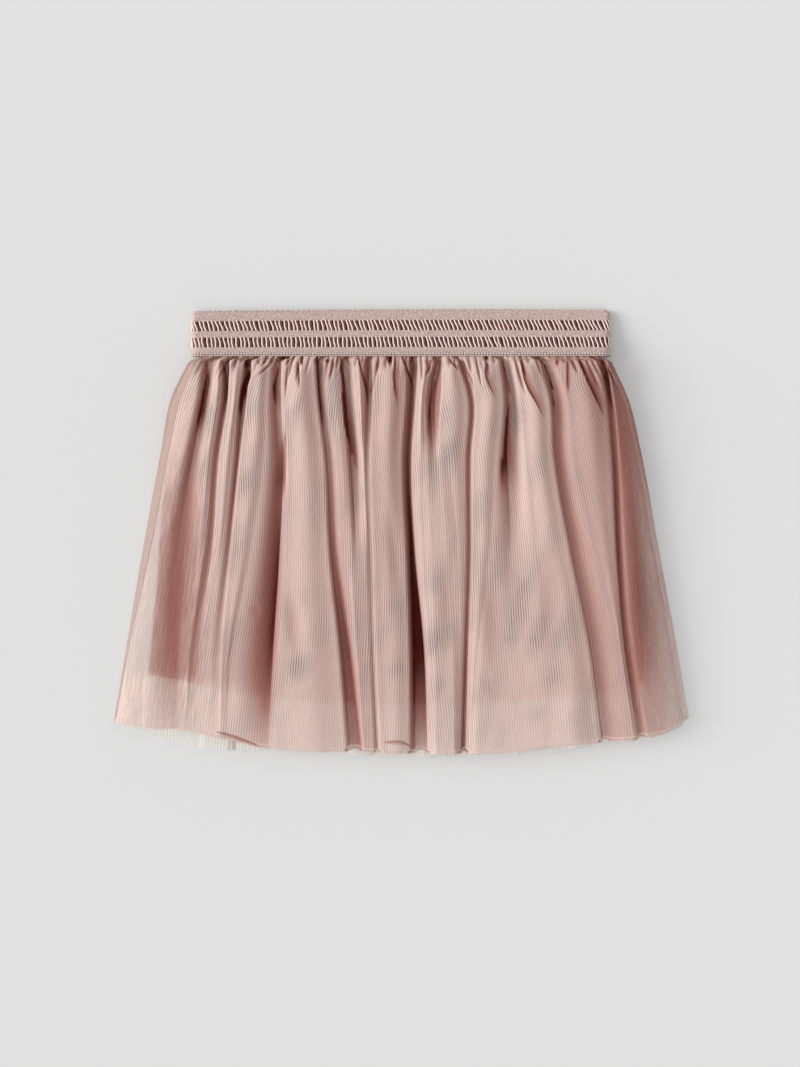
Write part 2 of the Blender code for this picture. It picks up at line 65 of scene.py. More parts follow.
# the valleys between the folds, from left to right
# centre, gap, depth and dark follow the levels; left, right, rise and tone are at the top and at the hem
# left and right are the widths of the slopes, and lean is how far these hang over
# rise is how far the fold to the right of the valley stands up, tone how much painted shade is laid on that
# fold, and dark how much painted shade is laid at the bottom of the valley
valleys = table(
    "centre gap depth dark left right lean rise tone",
    ((-115.2, -117.6, -123.9, -132.6, -136.8, -137.4), (1.2, 1.0, 1.0, 1.6, 3.0, 4.0),
     (0.7, 0.8, 0.6, 0.32, 0.2, 0.06), (0.1, 0.15, 0.25, 0.42, 0.46, 0.10), (4, 14), (5, 16), (0.3, 0.0),
     (0.6, 0.3), (0.0, 0.08)),
    ((-103.8, -104.4, -109.2, -113.4, -121.8, -126.0), (1.2, 1.0, 0.8, 0.8, 1.6, 4.0),
     (0.7, 0.62, 0.32, 0.20, 0.10, 0.0), (0.1, 0.14, 0.20, 0.24, 0.18, 0.0), (3, 5), (2.0, 1.8), (0.1, 0.5),
     (0.6, 0.4), (0.0, 0.0)),
    ((-90.6, -93.6, -97.2, -102.8, -108.6, -110.4), (1.8, 2.0, 0.9, 0.8, 0.9, 1.4),
     (0.7, 0.64, 0.46, 0.22, 0.08, 0.0), (0.2, 0.25, 0.24, 0.18, 0.1, 0.0), (2.6, 4), (2.0, 1.8),
     (0.3, 0.5), (0.6, 0.8), (0.0, 0.0)),
    ((-72.6, -73.2, -71.4, -73.2, -77.4, -82.0), (1.6, 2.2, 1.6, 0.8, 1.6, 4.0),
     (0.5, 0.42, 0.46, 0.38, 0.28, 0.12), (0.15, 0.18, 0.26, 0.90, 0.92, 0.2), (5, 26), (2.2, 5),
     (0.1, 0.5), (0.8, 0.4), (0.0, 0.0)),
    ((-49.8, -48.3, -44.1, -41.1, -33.6, -27.6), (1.0, 0.9, 0.8, 0.8, 3.6, 6.5),
     (0.7, 0.50, 0.46, 0.50, 0.54, 0.44), (0.1, 0.18, 0.25, 0.38, 0.54, 0.30), (1.9, 2.0), (5, 8),
     (0.5, 0.1), (0.0, 0.0), (0.05, 0.22)),
    ((-34.5, -32.4, -29.1, -26.0, -24.0, -20.4), (1.0, 1.6, 2.4, 1.6, 1.6, 1.6),
     (0.7, 0.62, 0.50, 0.05, 0.0, 0.0), (0.1, 0.15, 0.2, 0.0, 0.0, 0.0), (2.2, 3), (6, 9), (0.45, 0.1),
     (0.5, 0.2), (0.02, 0.17)),
    ((-18.6, -18.3, -19.5, -18.0, -16.5, -13.8), (1.2, 1.4, 0.8, 0.8, 0.8, 1.0),
     (0.8, 0.5, 0.14, 0.07, 0.06, 0.10), (0.1, 0.15, 0.1, 0.07, 0.05, 0.08), (4, 2.2), (2.0, 1.6),
     (0.1, 0.5), (1.0, 0.6), (0.10, 0.0)),
    ((9.0, 7.8, 5.4, 7.5, 11.1, 12.3), (1.6, 1.0, 0.9, 1.0, 5.0, 7.0), (0.8, 0.75, 0.7, 0.9, 0.95, 0.72),
     (0.1, 0.22, 0.38, 0.8, 0.96, 0.22), (5, 4), (2.2, 2.0), (0.1, 0.55), (0.6, 0.5), (0.0, 0.0)),
    ((23.4, 19.2, 20.4, 23.4, 26.4, 27.0), (1.6, 1.8, 1.4, 1.6, 1.6, 1.6), (0.8, 0.62, 0.14, 0.0, 0.0, 0.0),
     (0.1, 0.1, 0.05, 0.0, 0.0, 0.0), (4, 5), (3, 4), (0.2, 0.4), (0.5, 0.3), (0.0, 0.0)),
    ((35.4, 42.6, 41.4, 41.4, 39.6, 37.8), (1.0, 0.8, 0.8, 0.8, 0.8, 1.4),
     (0.7, 0.46, 0.32, 0.25, 0.28, 0.42), (0.12, 0.18, 0.24, 0.3, 0.42, 0.6), (3, 2.4), (2.0, 1.6),
     (0.2, 0.5), (0.6, 0.6), (0.0, 0.0)),
    ((61.2, 65.1, 65.4, 67.0, 66.6, 65.4), (1.4, 1.6, 3.4, 2.0, 2.0, 2.0),
     (0.8, 0.95, 0.72, 0.22, 0.1, 0.0), (0.1, 0.1, 0.1, 0.05, 0.0, 0.0), (3, 20), (5, 20), (0.3, 0.0),
     (0.6, 1.2), (0.0, 0.0)),
    ((83.4, 90.6, 93.0, 102.6, 114.0, 121.8), (1.0, 0.9, 0.8, 0.8, 0.8, 1.2),
     (0.8, 0.66, 0.5, 0.42, 0.40, 0.42), (0.12, 0.22, 0.28, 0.25, 0.2, 0.14), (2.2, 1.8), (8, 18),
     (0.5, 0.0), (0.2, 0.2), (0.18, 0.20)),
    ((119.4, 124.2, 127.5, 130.2, 134.7, 143.4), (1.0, 0.9, 0.8, 0.8, 0.8, 1.2),
     (0.5, 0.42, 0.34, 0.29, 0.29, 0.33), (0.1, 0.18, 0.34, 0.48, 0.40, 0.2), (2.2, 1.8), (3, 4),
     (0.5, 0.0), (0.0, 0.0), (0.40, 0.22)),
)

# soft puckers further down: x and width at each share of the way down, and depth
creases = table(
    "down x width depth",
    ((0.64, 0.655, 0.675), (-87.6, -87.4, -87.6), (0.7, 0.8, 0.7), 1.2),
    ((0.56, 0.70, 0.86), (-66.0, -63.0, -60.0), (4.0, 5.0, 4.0), 1.4),
    ((0.50, 0.66, 0.84), (52.0, 55.0, 57.0), (5.0, 6.0, 5.0), 1.4),
    ((0.40, 0.62, 0.90), (88.0, 92.0, 97.0), (5.0, 6.0, 6.0), 1.3),
    ((0.34, 0.50, 0.72), (-8.0, -4.0, -2.0), (3.0, 4.0, 4.0), 1.0),
    ((0.46, 0.64, 0.86), (27.0, 29.0, 28.0), (4.0, 5.0, 5.0), 1.1),
)

creaseLook = {"fadeUp": 0.6, "fadeIn": 0.4, "before": 0.02}

# the hollows that the gathers make below the band, each drawn as a leaf
# sharp says which edge is the crisp one, dark how much painted shade the hollow gets, and
# rows are (down from the band, left edge, right edge) in steps of 0.6 mm, x from the middle
leafStep = 0.6
leaves = table(
    "sharp dark rows",
    ("right", 0.35, ((0, -196, -193), (8, -197, -193), (18, -196, -192), (24, -194, -192))),
    ("both", 0.60, ((10, -192, -191), (28, -196, -192), (43, -199, -195), (58, -202, -197),
     (84, -206, -202))),
    ("right", 0.30, ((0, -181, -179), (12, -181, -176), (25, -179, -173), (45, -179, -174),
     (66, -182, -177))),
    ("right", 0.75, ((0, -174, -172), (13, -174, -172), (28, -175, -173), (43, -176, -174),
     (62, -178, -176))),
    ("left", 0.55, ((0, -163, -160), (6, -165, -161), (13, -167, -163), (18, -168, -166))),
    ("both", 0.50, ((0, -154, -151), (8, -156, -150), (15, -155, -149))),
    ("both", 0.85, ((10, -152, -149), (20, -155, -150), (28, -158, -153), (38, -160, -156),
     (50, -161, -158), (66, -162, -160))),
    ("right", 0.70, ((0, -128, -126), (8, -133, -130), (15, -141, -137), (19, -147, -142), (24, -152, -148))),
    ("left", 0.60, ((0, -144, -141), (5, -142, -139), (10, -143, -140))),
    ("right", 0.35, ((0, -134, -132), (6, -138, -136), (13, -144, -142))),
    ("left", 0.70, ((0, -122, -119), (10, -122, -120), (18, -124, -120), (28, -127, -119), (40, -127, -117),
     (58, -122, -116))),
    ("right", 0.45, ((0, -108, -106), (9, -114, -111), (15, -116, -113), (28, -117, -114), (46, -117, -115))),
    ("right", 0.50, ((70, -117, -115), (83, -119, -115), (93, -122, -115), (108, -125, -115),
     (124, -128, -115), (150, -131, -115))),
    ("both", 0.90, ((0, -119, -116), (4, -118, -117))),
    ("both", 0.80, ((0, -115, -112), (3, -114, -113))),
    ("right", 0.90, ((0, -101, -98), (5, -101, -98), (10, -100, -98))),
    ("right", 0.60, ((4, -105, -102), (10, -106, -102), (19, -106, -101), (34, -104, -101))),
    ("left", 0.95, ((0, -84, -81), (10, -84, -80), (22, -83, -80), (40, -82, -78), (58, -80, -75),
     (78, -77, -72))),
    ("right", 0.50, ((2, -70, -67), (10, -72, -67), (18, -74, -69), (28, -75, -71))),
    ("both", 0.45, ((3, -76, -71), (6, -74, -72))),
    ("left", 0.75, ((0, -60, -58), (12, -60, -57), (20, -59, -55), (30, -58, -53), (43, -58, -50),
     (58, -57, -47), (78, -54, -43), (98, -48, -39), (126, -41, -36))),
    ("left", 0.55, ((0, -55, -52), (5, -53, -50), (11, -51, -49))),
    ("left", 0.70, ((0, -43, -40), (13, -40, -36), (28, -36, -32), (38, -34, -31), (54, -33, -31))),
    ("right", 0.35, ((3, -24, -21), (18, -28, -25), (33, -32, -29), (50, -33, -31))),
    ("both", 0.60, ((0, -14, -9), (4, -13, -9), (8, -12, -10))),
    ("left", 0.60, ((0, -6, -3), (10, -6, -2), (20, -7, -1), (33, -6, 1), (50, -3, 4))),
    ("left", 0.75, ((0, 1, 4), (13, 6, 9), (28, 11, 14), (40, 13, 15))),
    ("right", 0.55, ((0, 9, 12), (9, 8, 10))),
    ("right", 0.65, ((2, 27, 30), (8, 26, 30), (14, 24, 28), (22, 21, 24))),
    ("both", 0.34, ((0, 38, 40), (12, 38, 40), (20, 36, 40), (31, 32, 40), (43, 29, 39), (58, 27, 38),
     (74, 27, 37), (102, 33, 36))),
    ("left", 0.70, ((1, 48, 51), (6, 50, 55), (10, 54, 60), (15, 58, 63))),
    ("right", 0.65, ((2, 59, 62), (13, 63, 66), (23, 68, 71), (36, 70, 72))),
    ("both", 0.90, ((0, 84, 87), (4, 85, 87))),
    ("left", 0.55, ((4, 87, 90), (13, 84, 92), (21, 85, 95), (31, 89, 99), (44, 96, 102))),
    ("right", 0.75, ((0, 100, 102), (8, 101, 103), (18, 103, 106), (33, 106, 109), (46, 108, 110))),
    ("left", 0.80, ((40, 109, 111), (52, 107, 112), (64, 105, 113), (80, 103, 115), (96, 102, 117),
     (112, 100, 120), (140, 99, 126))),
    ("left", 0.70, ((0, 119, 122), (5, 120, 124), (13, 121, 130), (23, 123, 136), (33, 127, 141),
     (43, 133, 146), (54, 139, 149), (66, 145, 151))),
    ("right", 0.75, ((0, 135, 138), (9, 142, 145), (19, 146, 149), (29, 149, 151), (43, 151, 153),
     (62, 151, 153))),
    ("left", 0.70, ((0, 156, 159), (5, 156, 159), (11, 154, 158))),
    ("left", 0.50, ((0, 166, 169), (10, 166, 171), (25, 166, 172), (42, 167, 173))),
    ("left", 0.75, ((0, 176, 179), (10, 180, 187), (25, 186, 197), (38, 192, 203), (50, 198, 208),
     (66, 204, 211))),
    ("right", 0.50, ((0, 195, 200), (18, 200, 207), (33, 203, 209), (48, 206, 211), (66, 209, 212))),
)
# painted shade in the leaves, and through dipShade in the dents; a painted highlight line beside each crisp
# right edge (light, lineAt, lineWidth)
leafLook = {
    "edge": 0.45, "soft": 1.6, "dip": 2.3, "fullRoom": 4.0, "shade": 0.95, "dipShade": 0.08,
    "lineAt": 0.8, "lineWidth": 0.7, "light": 0.22, "fadeUp": 0.45, "fadeIn": 0.2,
}

# greyer patches, the lining showing where the layers lie close together, with painted satin sheen and painted
# shade, in the same steps as the leaves
patches = table(
    "x down halfWide halfHigh strength",
    (-205, 11, 6, 12, 0.5), (-191, 63, 7, 16, 0.7), (-199, 112, 7, 18, 0.8), (-146, 52, 8, 16, 0.55),
    (-153, 124, 8, 16, 0.8), (-167, 203, 8, 22, 0.5), (-65, 26, 6, 16, 0.7), (-71, 62, 7, 18, 0.6),
    (-41, 140, 9, 16, 0.6), (-45, 203, 10, 16, 0.6), (-45, 276, 10, 20, 1.0), (-38, 318, 8, 14, 0.6),
    (-101, 309, 13, 13, 0.9), (-96, 242, 8, 14, 0.3), (-104, 53, 6, 16, 0.4), (-4, 249, 10, 10, 0.6),
    (-4, 312, 9, 9, 0.6), (36, 222, 10, 14, 0.8), (35, 284, 9, 14, 0.9), (50, 274, 7, 14, 0.7),
    (38, 329, 7, 12, 0.6), (46, 57, 8, 20, 0.5), (34, 111, 8, 16, 0.6), (83, 29, 6, 14, 0.4),
    (94, 218, 9, 20, 0.6), (92, 329, 10, 9, 0.5), (137, 274, 9, 22, 0.9), (161, 274, 8, 22, 0.6),
    (153, 321, 11, 12, 0.6), (137, 357, 9, 10, 0.4), (138, 108, 9, 20, 0.5), (176, 124, 9, 24, 0.4),
    (116, 61, 7, 18, 0.4), (232, 309, 14, 12, 0.4), (-120, 160, 9, 24, 0.4), (80, 150, 10, 22, 0.5),
    (50, 93, 8, 14, 0.5), (90, 73, 8, 16, 0.4), (115, 240, 13, 50, 0.6), (-36, 236, 10, 22, 0.6),
)
patchLean = 0.22  # how far the patches lean to the right going up

# short cuts up into the hems: from x to x and how deep, and how softly the ends of each begin
notches = {
    "back": {"soft": 0.8, "begin": 1.0, "cuts": ((-84.0, -78.6, 6.5), (70.8, 89.4, 4.2), (27.6, 28.8, 3.2))},
    "front": {"soft": 1.6, "begin": 0.5, "cuts": ((-31.5, -24.0, 1.8), (8.6, 15.6, 2.4), (37.0, 39.4, 1.6),
                                                  (121.0, 124.5, 1.6), (142.4, 146.0, 1.4))},
    "lining": {"soft": 1.0, "begin": 0.0, "cuts": ()},
}
hemLines = {
    "front": {
        "x": (-173.4, -154, -127, -110, -85, -60, -32, 7, 41, 70, 101, 121, 143, 163, 173.4),
        "y": (-113.4, -116.4, -118.2, -122.4, -126.6, -128.4, -129, -130.2, -130.2, -129)
        + (-125.4, -123.6, -121.8, -116.4, -111),
    },
    "back": {
        "x": (-173.4, -161, -145, -124, -100, -67, -43, -18.6, 23.4, 53, 91, 113, 142, 163, 173.4),
        "y": (-114, -117.6, -123.6, -128.4, -130.8, -130.8, -132, -134, -134, -132.6)
        + (-132.6, -127.2, -123.6, -117, -111),
    },
    "lining": {
        "x": (-152, -126, -85, -31, 11, 71, 125, 146.4),
        "y": (-85.5, -90.6, -98.4, -102, -102.6, -100.8, -94.8, -90),
    },
}


def smooth(t):
    t = np.clip(t, 0.0, 1.0)
    return t * t * (3 - 2 * t)


def through(places, values, at):  # a smooth curve through values at places, read at at
    places, values = np.asarray(places, float), np.asarray(values, float)
    at = np.clip(at, places[0], places[-1])
    slopes = np.gradient(values, places)
    i = np.clip(np.searchsorted(places, at) - 1, 0, len(places) - 2)
    step = places[i + 1] - places[i]
    t = (at - places[i]) / step
    start = (1 + 2 * t) * (1 - t) ** 2 * values[i] + t * (1 - t) ** 2 * step * slopes[i]
    end = t * t * (3 - 2 * t) * values[i + 1] - t * t * (1 - t) * step * slopes[i + 1]
    return start + end


def level(values, down):
    return through(skirt["levels"], values, down)


def topToHem(pair, down):
    return pair[0] + (pair[1] - pair[0]) * smooth(down)


def drawnIn(down):  # how much narrower the cloth is, where it is tucked into the band
    return skirt["tuckIn"] * (1 - smooth(down / skirt["fullFrom"]))


def edgeOf(side, down):
    x = level(skirt[side], down)
    return x - math.copysign(drawnIn(down), x)


def placeY(x, hem, down):
    foot = through(hemLines[hem]["x"], hemLines[hem]["y"], x)
    soft, begin = notches[hem]["soft"], notches[hem]["begin"]
    for start, end, depth in notches[hem]["cuts"]:
        foot = foot + depth * smooth((x - start) / soft + begin) * smooth((end - x) / soft + begin)
    up = skirt["tuck"] * min(down, 0) / skirt["tuckDown"]
    return skirt["bandFoot"] + up + (foot - skirt["bandFoot"]) * max(down, 0)


def shoulder(distance, width):  # a quarter ellipse, 0 at the edge and 1 at width from it
    t = 1 - np.clip(distance / width, 0.0, 1.0)
    return np.sqrt(1 - t * t)


def overhang(lean):
    if lean * math.pi <= 1:
        return 0.0
    angle = math.acos(1 / (lean * math.pi))
    return lean * math.sin(angle) - angle / math.pi


print("shape helpers ready")

# how finely the folded panels are made
foldGrid = {
    "slope": 9,  # columns down each slope
    "crestEvery": 0.56,  # between columns along a fold
    "leftMargin": 16,
    "rightMargin": 24,
    "rightFade": 0.75,  # how much of the last fold's painted shade is gone at the right edge
    "slopeShare": 0.86,  # the most that slopes take of the room between two valleys
    "crown": 0.035,  # how much a fold swells, as a share of its width
    "crownMost": 1.3,
    "crownTop": 1.2,  # folds are rounder near the gathers
    "darkFall": 1.4,  # how soon a valley's painted shade fades up its slopes
    "filled": 1.6,  # how high the cloth stands where a valley has faded out
    "filledBelow": 0.3,  # the depth at which that begins
    "leanFrom": 0.4,  # the depth at which slopes lean fully
    "leanRoom": 7.0,  # and the height
}


def fittedValleys(down, first, last, layer):
    found = []
    for valley in valleys:
        depth = max(level(valley["depth"], down), 0.0)
        lean = [side * layer["lean"] * min(1.0, depth / foldGrid["leanFrom"]) for side in valley["lean"]]
        slope = [topToHem(valley["left"], down), topToHem(valley["right"], down)]
        gap = level(valley["gap"], down) + layer["widen"]
        found.append({
            "centre": level(valley["centre"], down) * edgeOf("left", down) / level(skirt["left"], down),
            "depth": depth, "lean": lean, "slope": slope,
            "floor": [gap / 2 + overhang(lean[k]) * slope[k] for k in (0, 1)],
            "rise": topToHem(valley["rise"], down), "tone": topToHem(valley["tone"], down),
            "dark": max(level(valley["dark"], down), 0.0),
            "filled": foldGrid["filled"] * (1 - smooth(depth / foldGrid["filledBelow"])),
        })
    for here, ahead in zip(found, found[1:] + [None]):
        room = (ahead["centre"] - ahead["floor"][0] if ahead else last) - here["centre"]
        room -= here["floor"][1]
        wanted = here["slope"][1] + (ahead["slope"][0] if ahead else 0)
        share = min(1.0, foldGrid["slopeShare"] * room / wanted)
        here["slope"][1] *= share
        if ahead:
            ahead["slope"][0] *= share
    leftRoom = found[0]["centre"] - found[0]["floor"][0] - first
    found[0]["slope"][0] = min(found[0]["slope"][0], foldGrid["slopeShare"] * leftRoom)
    return found


def crest(here, ahead):  # where the fold between two valleys begins and ends
    return (here["centre"] + here["floor"][1] + here["slope"][1],
            ahead["centre"] - ahead["floor"][0] - ahead["slope"][0])


def crestColumns(start, layer):  # how many columns each fold needs, from its widest row
    widest = np.zeros(len(valleys) - 1)
    for down in np.linspace(0, 1, 9):
        found = fittedValleys(down, start(down), edgeOf("right", down), layer)
        ends = np.array([crest(here, ahead) for here, ahead in zip(found, found[1:])])
        widest = np.maximum(widest, ends[:, 1] - ends[:, 0])
    return [max(4, int(width / foldGrid["crestEvery"])) for width in widest]


def foldedRow(down, layer, counts, start, left, right):
    found = fittedValleys(down, start, right, layer)
    columns = []

    def add(x, drop=0.0, shift=0.0, crown=0.0, tone=0.0):
        columns.append((x, drop, shift, crown, tone))

    first = found[0]["centre"] - found[0]["floor"][0] - found[0]["slope"][0]
    for share in np.arange(foldGrid["leftMargin"]) / foldGrid["leftMargin"]:
        add(start + (first - start) * share)
    # painted shade: each valley's dark at its bottom, fading up its slopes, and each fold's tone along it,
    # fading at the right edge
    shadeBefore = 0.0
    steps = 1 - np.arange(foldGrid["slope"]) / (foldGrid["slope"] - 1)
    for i, here in enumerate(found):
        for side, way, shade, shares in ((0, -1, shadeBefore, steps), (1, 1, here["tone"], steps[::-1])):
            for q in shares:
                x = here["centre"] + way * (here["floor"][side] + here["slope"][side] * q)
                bulge = here["lean"][side] * here["slope"][side] * math.sin(math.pi * q)
                fall = here["depth"] * (1 + math.cos(math.pi * q)) / 2
                dark = here["dark"] * (1 - q) ** foldGrid["darkFall"]
                add(x, fall, -way * bulge, here["filled"], shade + dark)
            if side == 0:  # one column along the bottom, so that the hollows reach it
                middle = (here["floor"][1] - here["floor"][0]) / 2
                add(here["centre"] + middle, here["depth"], 0.0, here["filled"],
                    (shadeBefore + here["tone"]) / 2 + here["dark"])
        shadeBefore = here["tone"]
        if i + 1 < len(found):
            ahead = found[i + 1]
            begin, end = crest(here, ahead)
            rounder = 1 + foldGrid["crownTop"] * (1 - smooth((down - 0.1) / 0.35))
            height = min(foldGrid["crown"] * (end - begin), foldGrid["crownMost"]) * rounder + here["rise"]
            for u in np.arange(1, counts[i] + 1) / (counts[i] + 1):
                low = here["filled"] * (1 - u) + ahead["filled"] * u
                swell = max(height - low, 0.0) * math.sin(math.pi * u) ** 2
                add(begin + (end - begin) * u, crown=low + swell, tone=here["tone"])
    last = columns[-1][0]
    for share in np.arange(1, foldGrid["rightMargin"] + 1) / foldGrid["rightMargin"]:
        add(last + (right - last) * share, tone=shadeBefore * (1 - foldGrid["rightFade"] * smooth(share)))
    x, drop, shift, crown, tone = np.array(columns).T
    width, foot = layer["shoulder"](down), layer["foot"](down)
    rise = np.minimum(shoulder(x - left, width), shoulder(right - x, width))
    top = foot + (layer["crest"](down) - foot) * rise
    room = np.maximum(top - layer["floor"](down), 0.0)
    leaning = np.minimum(room / foldGrid["leanRoom"], 1.0) * shift
    swell = crown * rise * layer["swell"] * smooth(down / 0.05)
    return x + leaning, top - room * drop + swell, room * drop, tone


# the small gathers that come out of the band, uneven in length, depth and spacing
gathering = {
    "from": -117.0, "to": 121.0, "spacing": (2.6, 5.2), "lengths": (0.02, 0.03, 0.045, 0.06, 0.09),
    "stretch": (0.8, 1.2), "widthTop": (0.4, 0.8), "width": (0.6, 1.2), "widthEnd": 0.5, "depth": (0.6, 2.6),
}
random.seed(11)


def gatherCreases():
    found = []
    x = gathering["from"]
    while x < gathering["to"]:
        length = random.choice(gathering["lengths"]) * random.uniform(*gathering["stretch"])
        bend = x * length  # they spread with the cloth
        found.append({
            "down": (0.0, length / 2, length), "x": (x, x + bend / 2, x + bend),
            "width": (random.uniform(*gathering["widthTop"]), random.uniform(*gathering["width"]),
                      gathering["widthEnd"]),
            "depth": random.uniform(*gathering["depth"]),
        })
        x += random.uniform(*gathering["spacing"])
    return found


gathers = gatherCreases()


def dent(x, down):  # how deep the creases and gathers are at each point of a row
    total = np.zeros_like(x)
    for crease in creases + gathers:
        start, end = crease["down"][0], crease["down"][-1]
        if not start - creaseLook["before"] <= down <= end:
            continue
        t = (max(down, start) - start) / (end - start)
        fade = smooth((1 - t) / creaseLook["fadeUp"])
        if start > 0:
            fade *= smooth(t / creaseLook["fadeIn"])
        centre, width = (through(crease["down"], crease[name], down) for name in ("x", "width"))
        total += crease["depth"] * fade * np.exp(-((x - centre) / width) ** 2)
    return total


def leafDepth(x, down):  # 0 outside the leaves, up to their depth inside; and the painted highlight line beside their crisp right edge
    total, lit = np.zeros_like(x), np.zeros_like(x)
    at = down * (skirt["bandFoot"] - skirt["hemAt"]) / leafStep
    for leaf in leaves:
        rows = np.array(leaf["rows"], float)
        if not rows[0, 0] - 4 <= at <= rows[-1, 0]:
            continue
        left, right = (np.interp(at, rows[:, 0], rows[:, k]) * leafStep for k in (1, 2))
        along = (at - rows[0, 0]) / (rows[-1, 0] - rows[0, 0])
        fade = smooth((1 - along) / leafLook["fadeUp"])
        if rows[0, 0] > 0:
            fade *= smooth(along / leafLook["fadeIn"] + 0.2)
        u = np.clip((x - left) / (right - left), 0.0, 1.0)
        soft = {"left": 1 - u, "right": u, "both": np.ones_like(u)}[leaf["sharp"]] ** leafLook["soft"]
        edges = smooth((x - left) / leafLook["edge"] + 1) * smooth((right - x) / leafLook["edge"] + 1)
        total = np.maximum(total, leaf["dark"] * fade * soft * edges)
        if leaf["sharp"] != "left":
            line = np.exp(-((x - right - leafLook["lineAt"]) / leafLook["lineWidth"]) ** 2)
            lit = np.maximum(lit, leaf["dark"] * fade * line)
    return total, lit


def patchiness(points):
    total = np.zeros(points.shape[:2])
    for patch in patches:
        up = (points[..., 1] - skirt["bandFoot"]) / leafStep + patch["down"]
        across = points[..., 0] / leafStep - patch["x"] - patchLean * up
        away = (across / patch["halfWide"]) ** 2 + (up / patch["halfHigh"]) ** 2
        total += patch["strength"] * np.exp(-away)
    return np.clip(total, 0.0, 1.0)


def placed(name, data):
    thing = bpy.data.objects.new(name, data)
    bpy.context.scene.collection.objects.link(thing)
    return thing


def gridFaces(rows, columns, base=0, joinRows=False, joinColumns=False, flip=False):
    index = base + np.arange(rows * columns).reshape(rows, columns)
    index = np.pad(index, ((0, int(joinRows)), (0, int(joinColumns))), mode="wrap")
    corners = [index[:-1, :-1], index[1:, :-1], index[1:, 1:], index[:-1, 1:]]
    if flip:
        corners[1], corners[3] = corners[3], corners[1]
    return np.stack(corners, axis=-1).reshape(-1, 4).tolist()


def meshPiece(name, vertices, faces):
    mesh = bpy.data.meshes.new(name)
    vertices = np.asarray(vertices) * mm
    vertices[:, 2] = np.maximum(vertices[:, 2], 0.0)  # nothing reaches below the surface it lies on
    mesh.from_pydata(vertices.tolist(), [], faces)
    mesh.shade_smooth()
    return placed(name, mesh)


def clothMesh(name, points, **values):  # each value is one number, or one for each point
    piece = meshPiece(name, points.reshape(-1, 3), gridFaces(*points.shape[:2]))
    for label, numbers in values.items():
        attribute = piece.data.attributes.new(label, "FLOAT", "POINT")
        numbers = np.broadcast_to(numbers, points.shape[:2])
        attribute.data.foreach_set("value", numbers.astype(np.float32).ravel())
    return piece


def steepness(points):  # 0 where the cloth lies flat, 1 where it stands on edge; and how far it faces right
    normal = np.cross(np.gradient(points, axis=0), np.gradient(points, axis=1))
    size = np.maximum(np.linalg.norm(normal, axis=-1), 1e-9)
    return 1 - np.abs(normal[..., 2]) / size, np.clip(normal[..., 0] / size, 0.0, 1.0)


def acrossCloth(points, passes=40):  # distance across the cloth, the same share of its width in each row
    steps = np.linalg.norm(np.diff(points, axis=1), axis=-1)
    total = np.concatenate([np.zeros((len(points), 1)), np.cumsum(steps, axis=1)], axis=1)
    total = total / total[:, -1:] * np.median(total[:, -1])
    for _ in range(passes):  # the threads run smoothly from row to row
        total[1:-1] = (total[:-2] + 2 * total[1:-1] + total[2:]) / 4
    return total


def downCloth(downs):
    return downs[:, None] * skirt["clothLength"]


def clothRows(count, upperShare=0.62, upperDown=0.36):  # closer together over the gathers than below them
    upper = int(count * upperShare)
    free = [np.linspace(0.0, upperDown, upper, endpoint=False), np.linspace(upperDown, 1.0, count - upper)]
    return np.concatenate([[skirt["tuckDown"], -0.006, -0.002]] + free)  # three rows inside the band


# heights of the outer layer's folds and of its valleys, at places on the way down
crestLine = ((-0.016, -0.006, -0.002, 0, 0.004, 0.01, 0.03, 0.06, 0.12, 0.25, 0.5, 0.75, 1),
             (8.4, 8.8, 10.2, 11.6, 13.3, 14.4, 15.6, 16.0, 16.2, 16.0, 15.2, 14.0, 12.0))
floorLine = ((-0.016, 0, 0.03, 1), (7.4, 7.0, 4.8, 4.6))
outerFront = {
    "rows": 140, "lean": 1.0, "widen": 0.0, "swell": 1.0, "inset": 0.0, "wrapped": True, "creaseScale": 1.0,
    "longer": 0.0, "longerFrom": 0.0, "look": "outer",
    "crest": lambda down: np.interp(down, *crestLine),
    "floor": lambda down: np.interp(down, *floorLine),
    "foot": lambda down: 2.4 + 1.6 * (1 - smooth(down / 0.07)),
    "shoulder": lambda down: 2.5 + (skirt["shoulder"] - 2.5) * smooth(down / 0.10),
}
underFront = {
    "rows": 96, "lean": 0.35, "widen": 2.6, "swell": 0.9, "inset": 3.0, "wrapped": False, "creaseScale": 0.8,
    "longer": 2.1, "longerFrom": -96.0, "look": "under",  # its hem shows below the outer one from there on
    "crest": lambda down: outerFront["crest"](down) - 1.5 * smooth((down - skirt["tuckDown"]) / 0.06) - 0.4,
    "floor": lambda down: outerFront["floor"](down) - 1.2,
    "foot": lambda down: outerFront["foot"](down) - 0.8,
    "shoulder": lambda down: 2.5 + (skirt["shoulder"] - 3.0) * smooth(down / 0.10),
}


def sideHeight(distance, down):  # the outer layer's height at a distance in from the left edge
    foot = outerFront["foot"](down)
    return foot + (outerFront["crest"](down) - foot) * shoulder(distance, outerFront["shoulder"](down))


def quarterTurn(x, z, way):  # round the side, down to the floor and in along it
    wrap = skirt["wrap"]
    turn = math.pi / 2 * np.arange(1, 5) / 4
    along = np.append(x + way * wrap * (1 - np.cos(turn)), x + way * skirt["hiddenEdge"])
    return along, np.append(z - wrap * np.sin(turn), z - wrap)


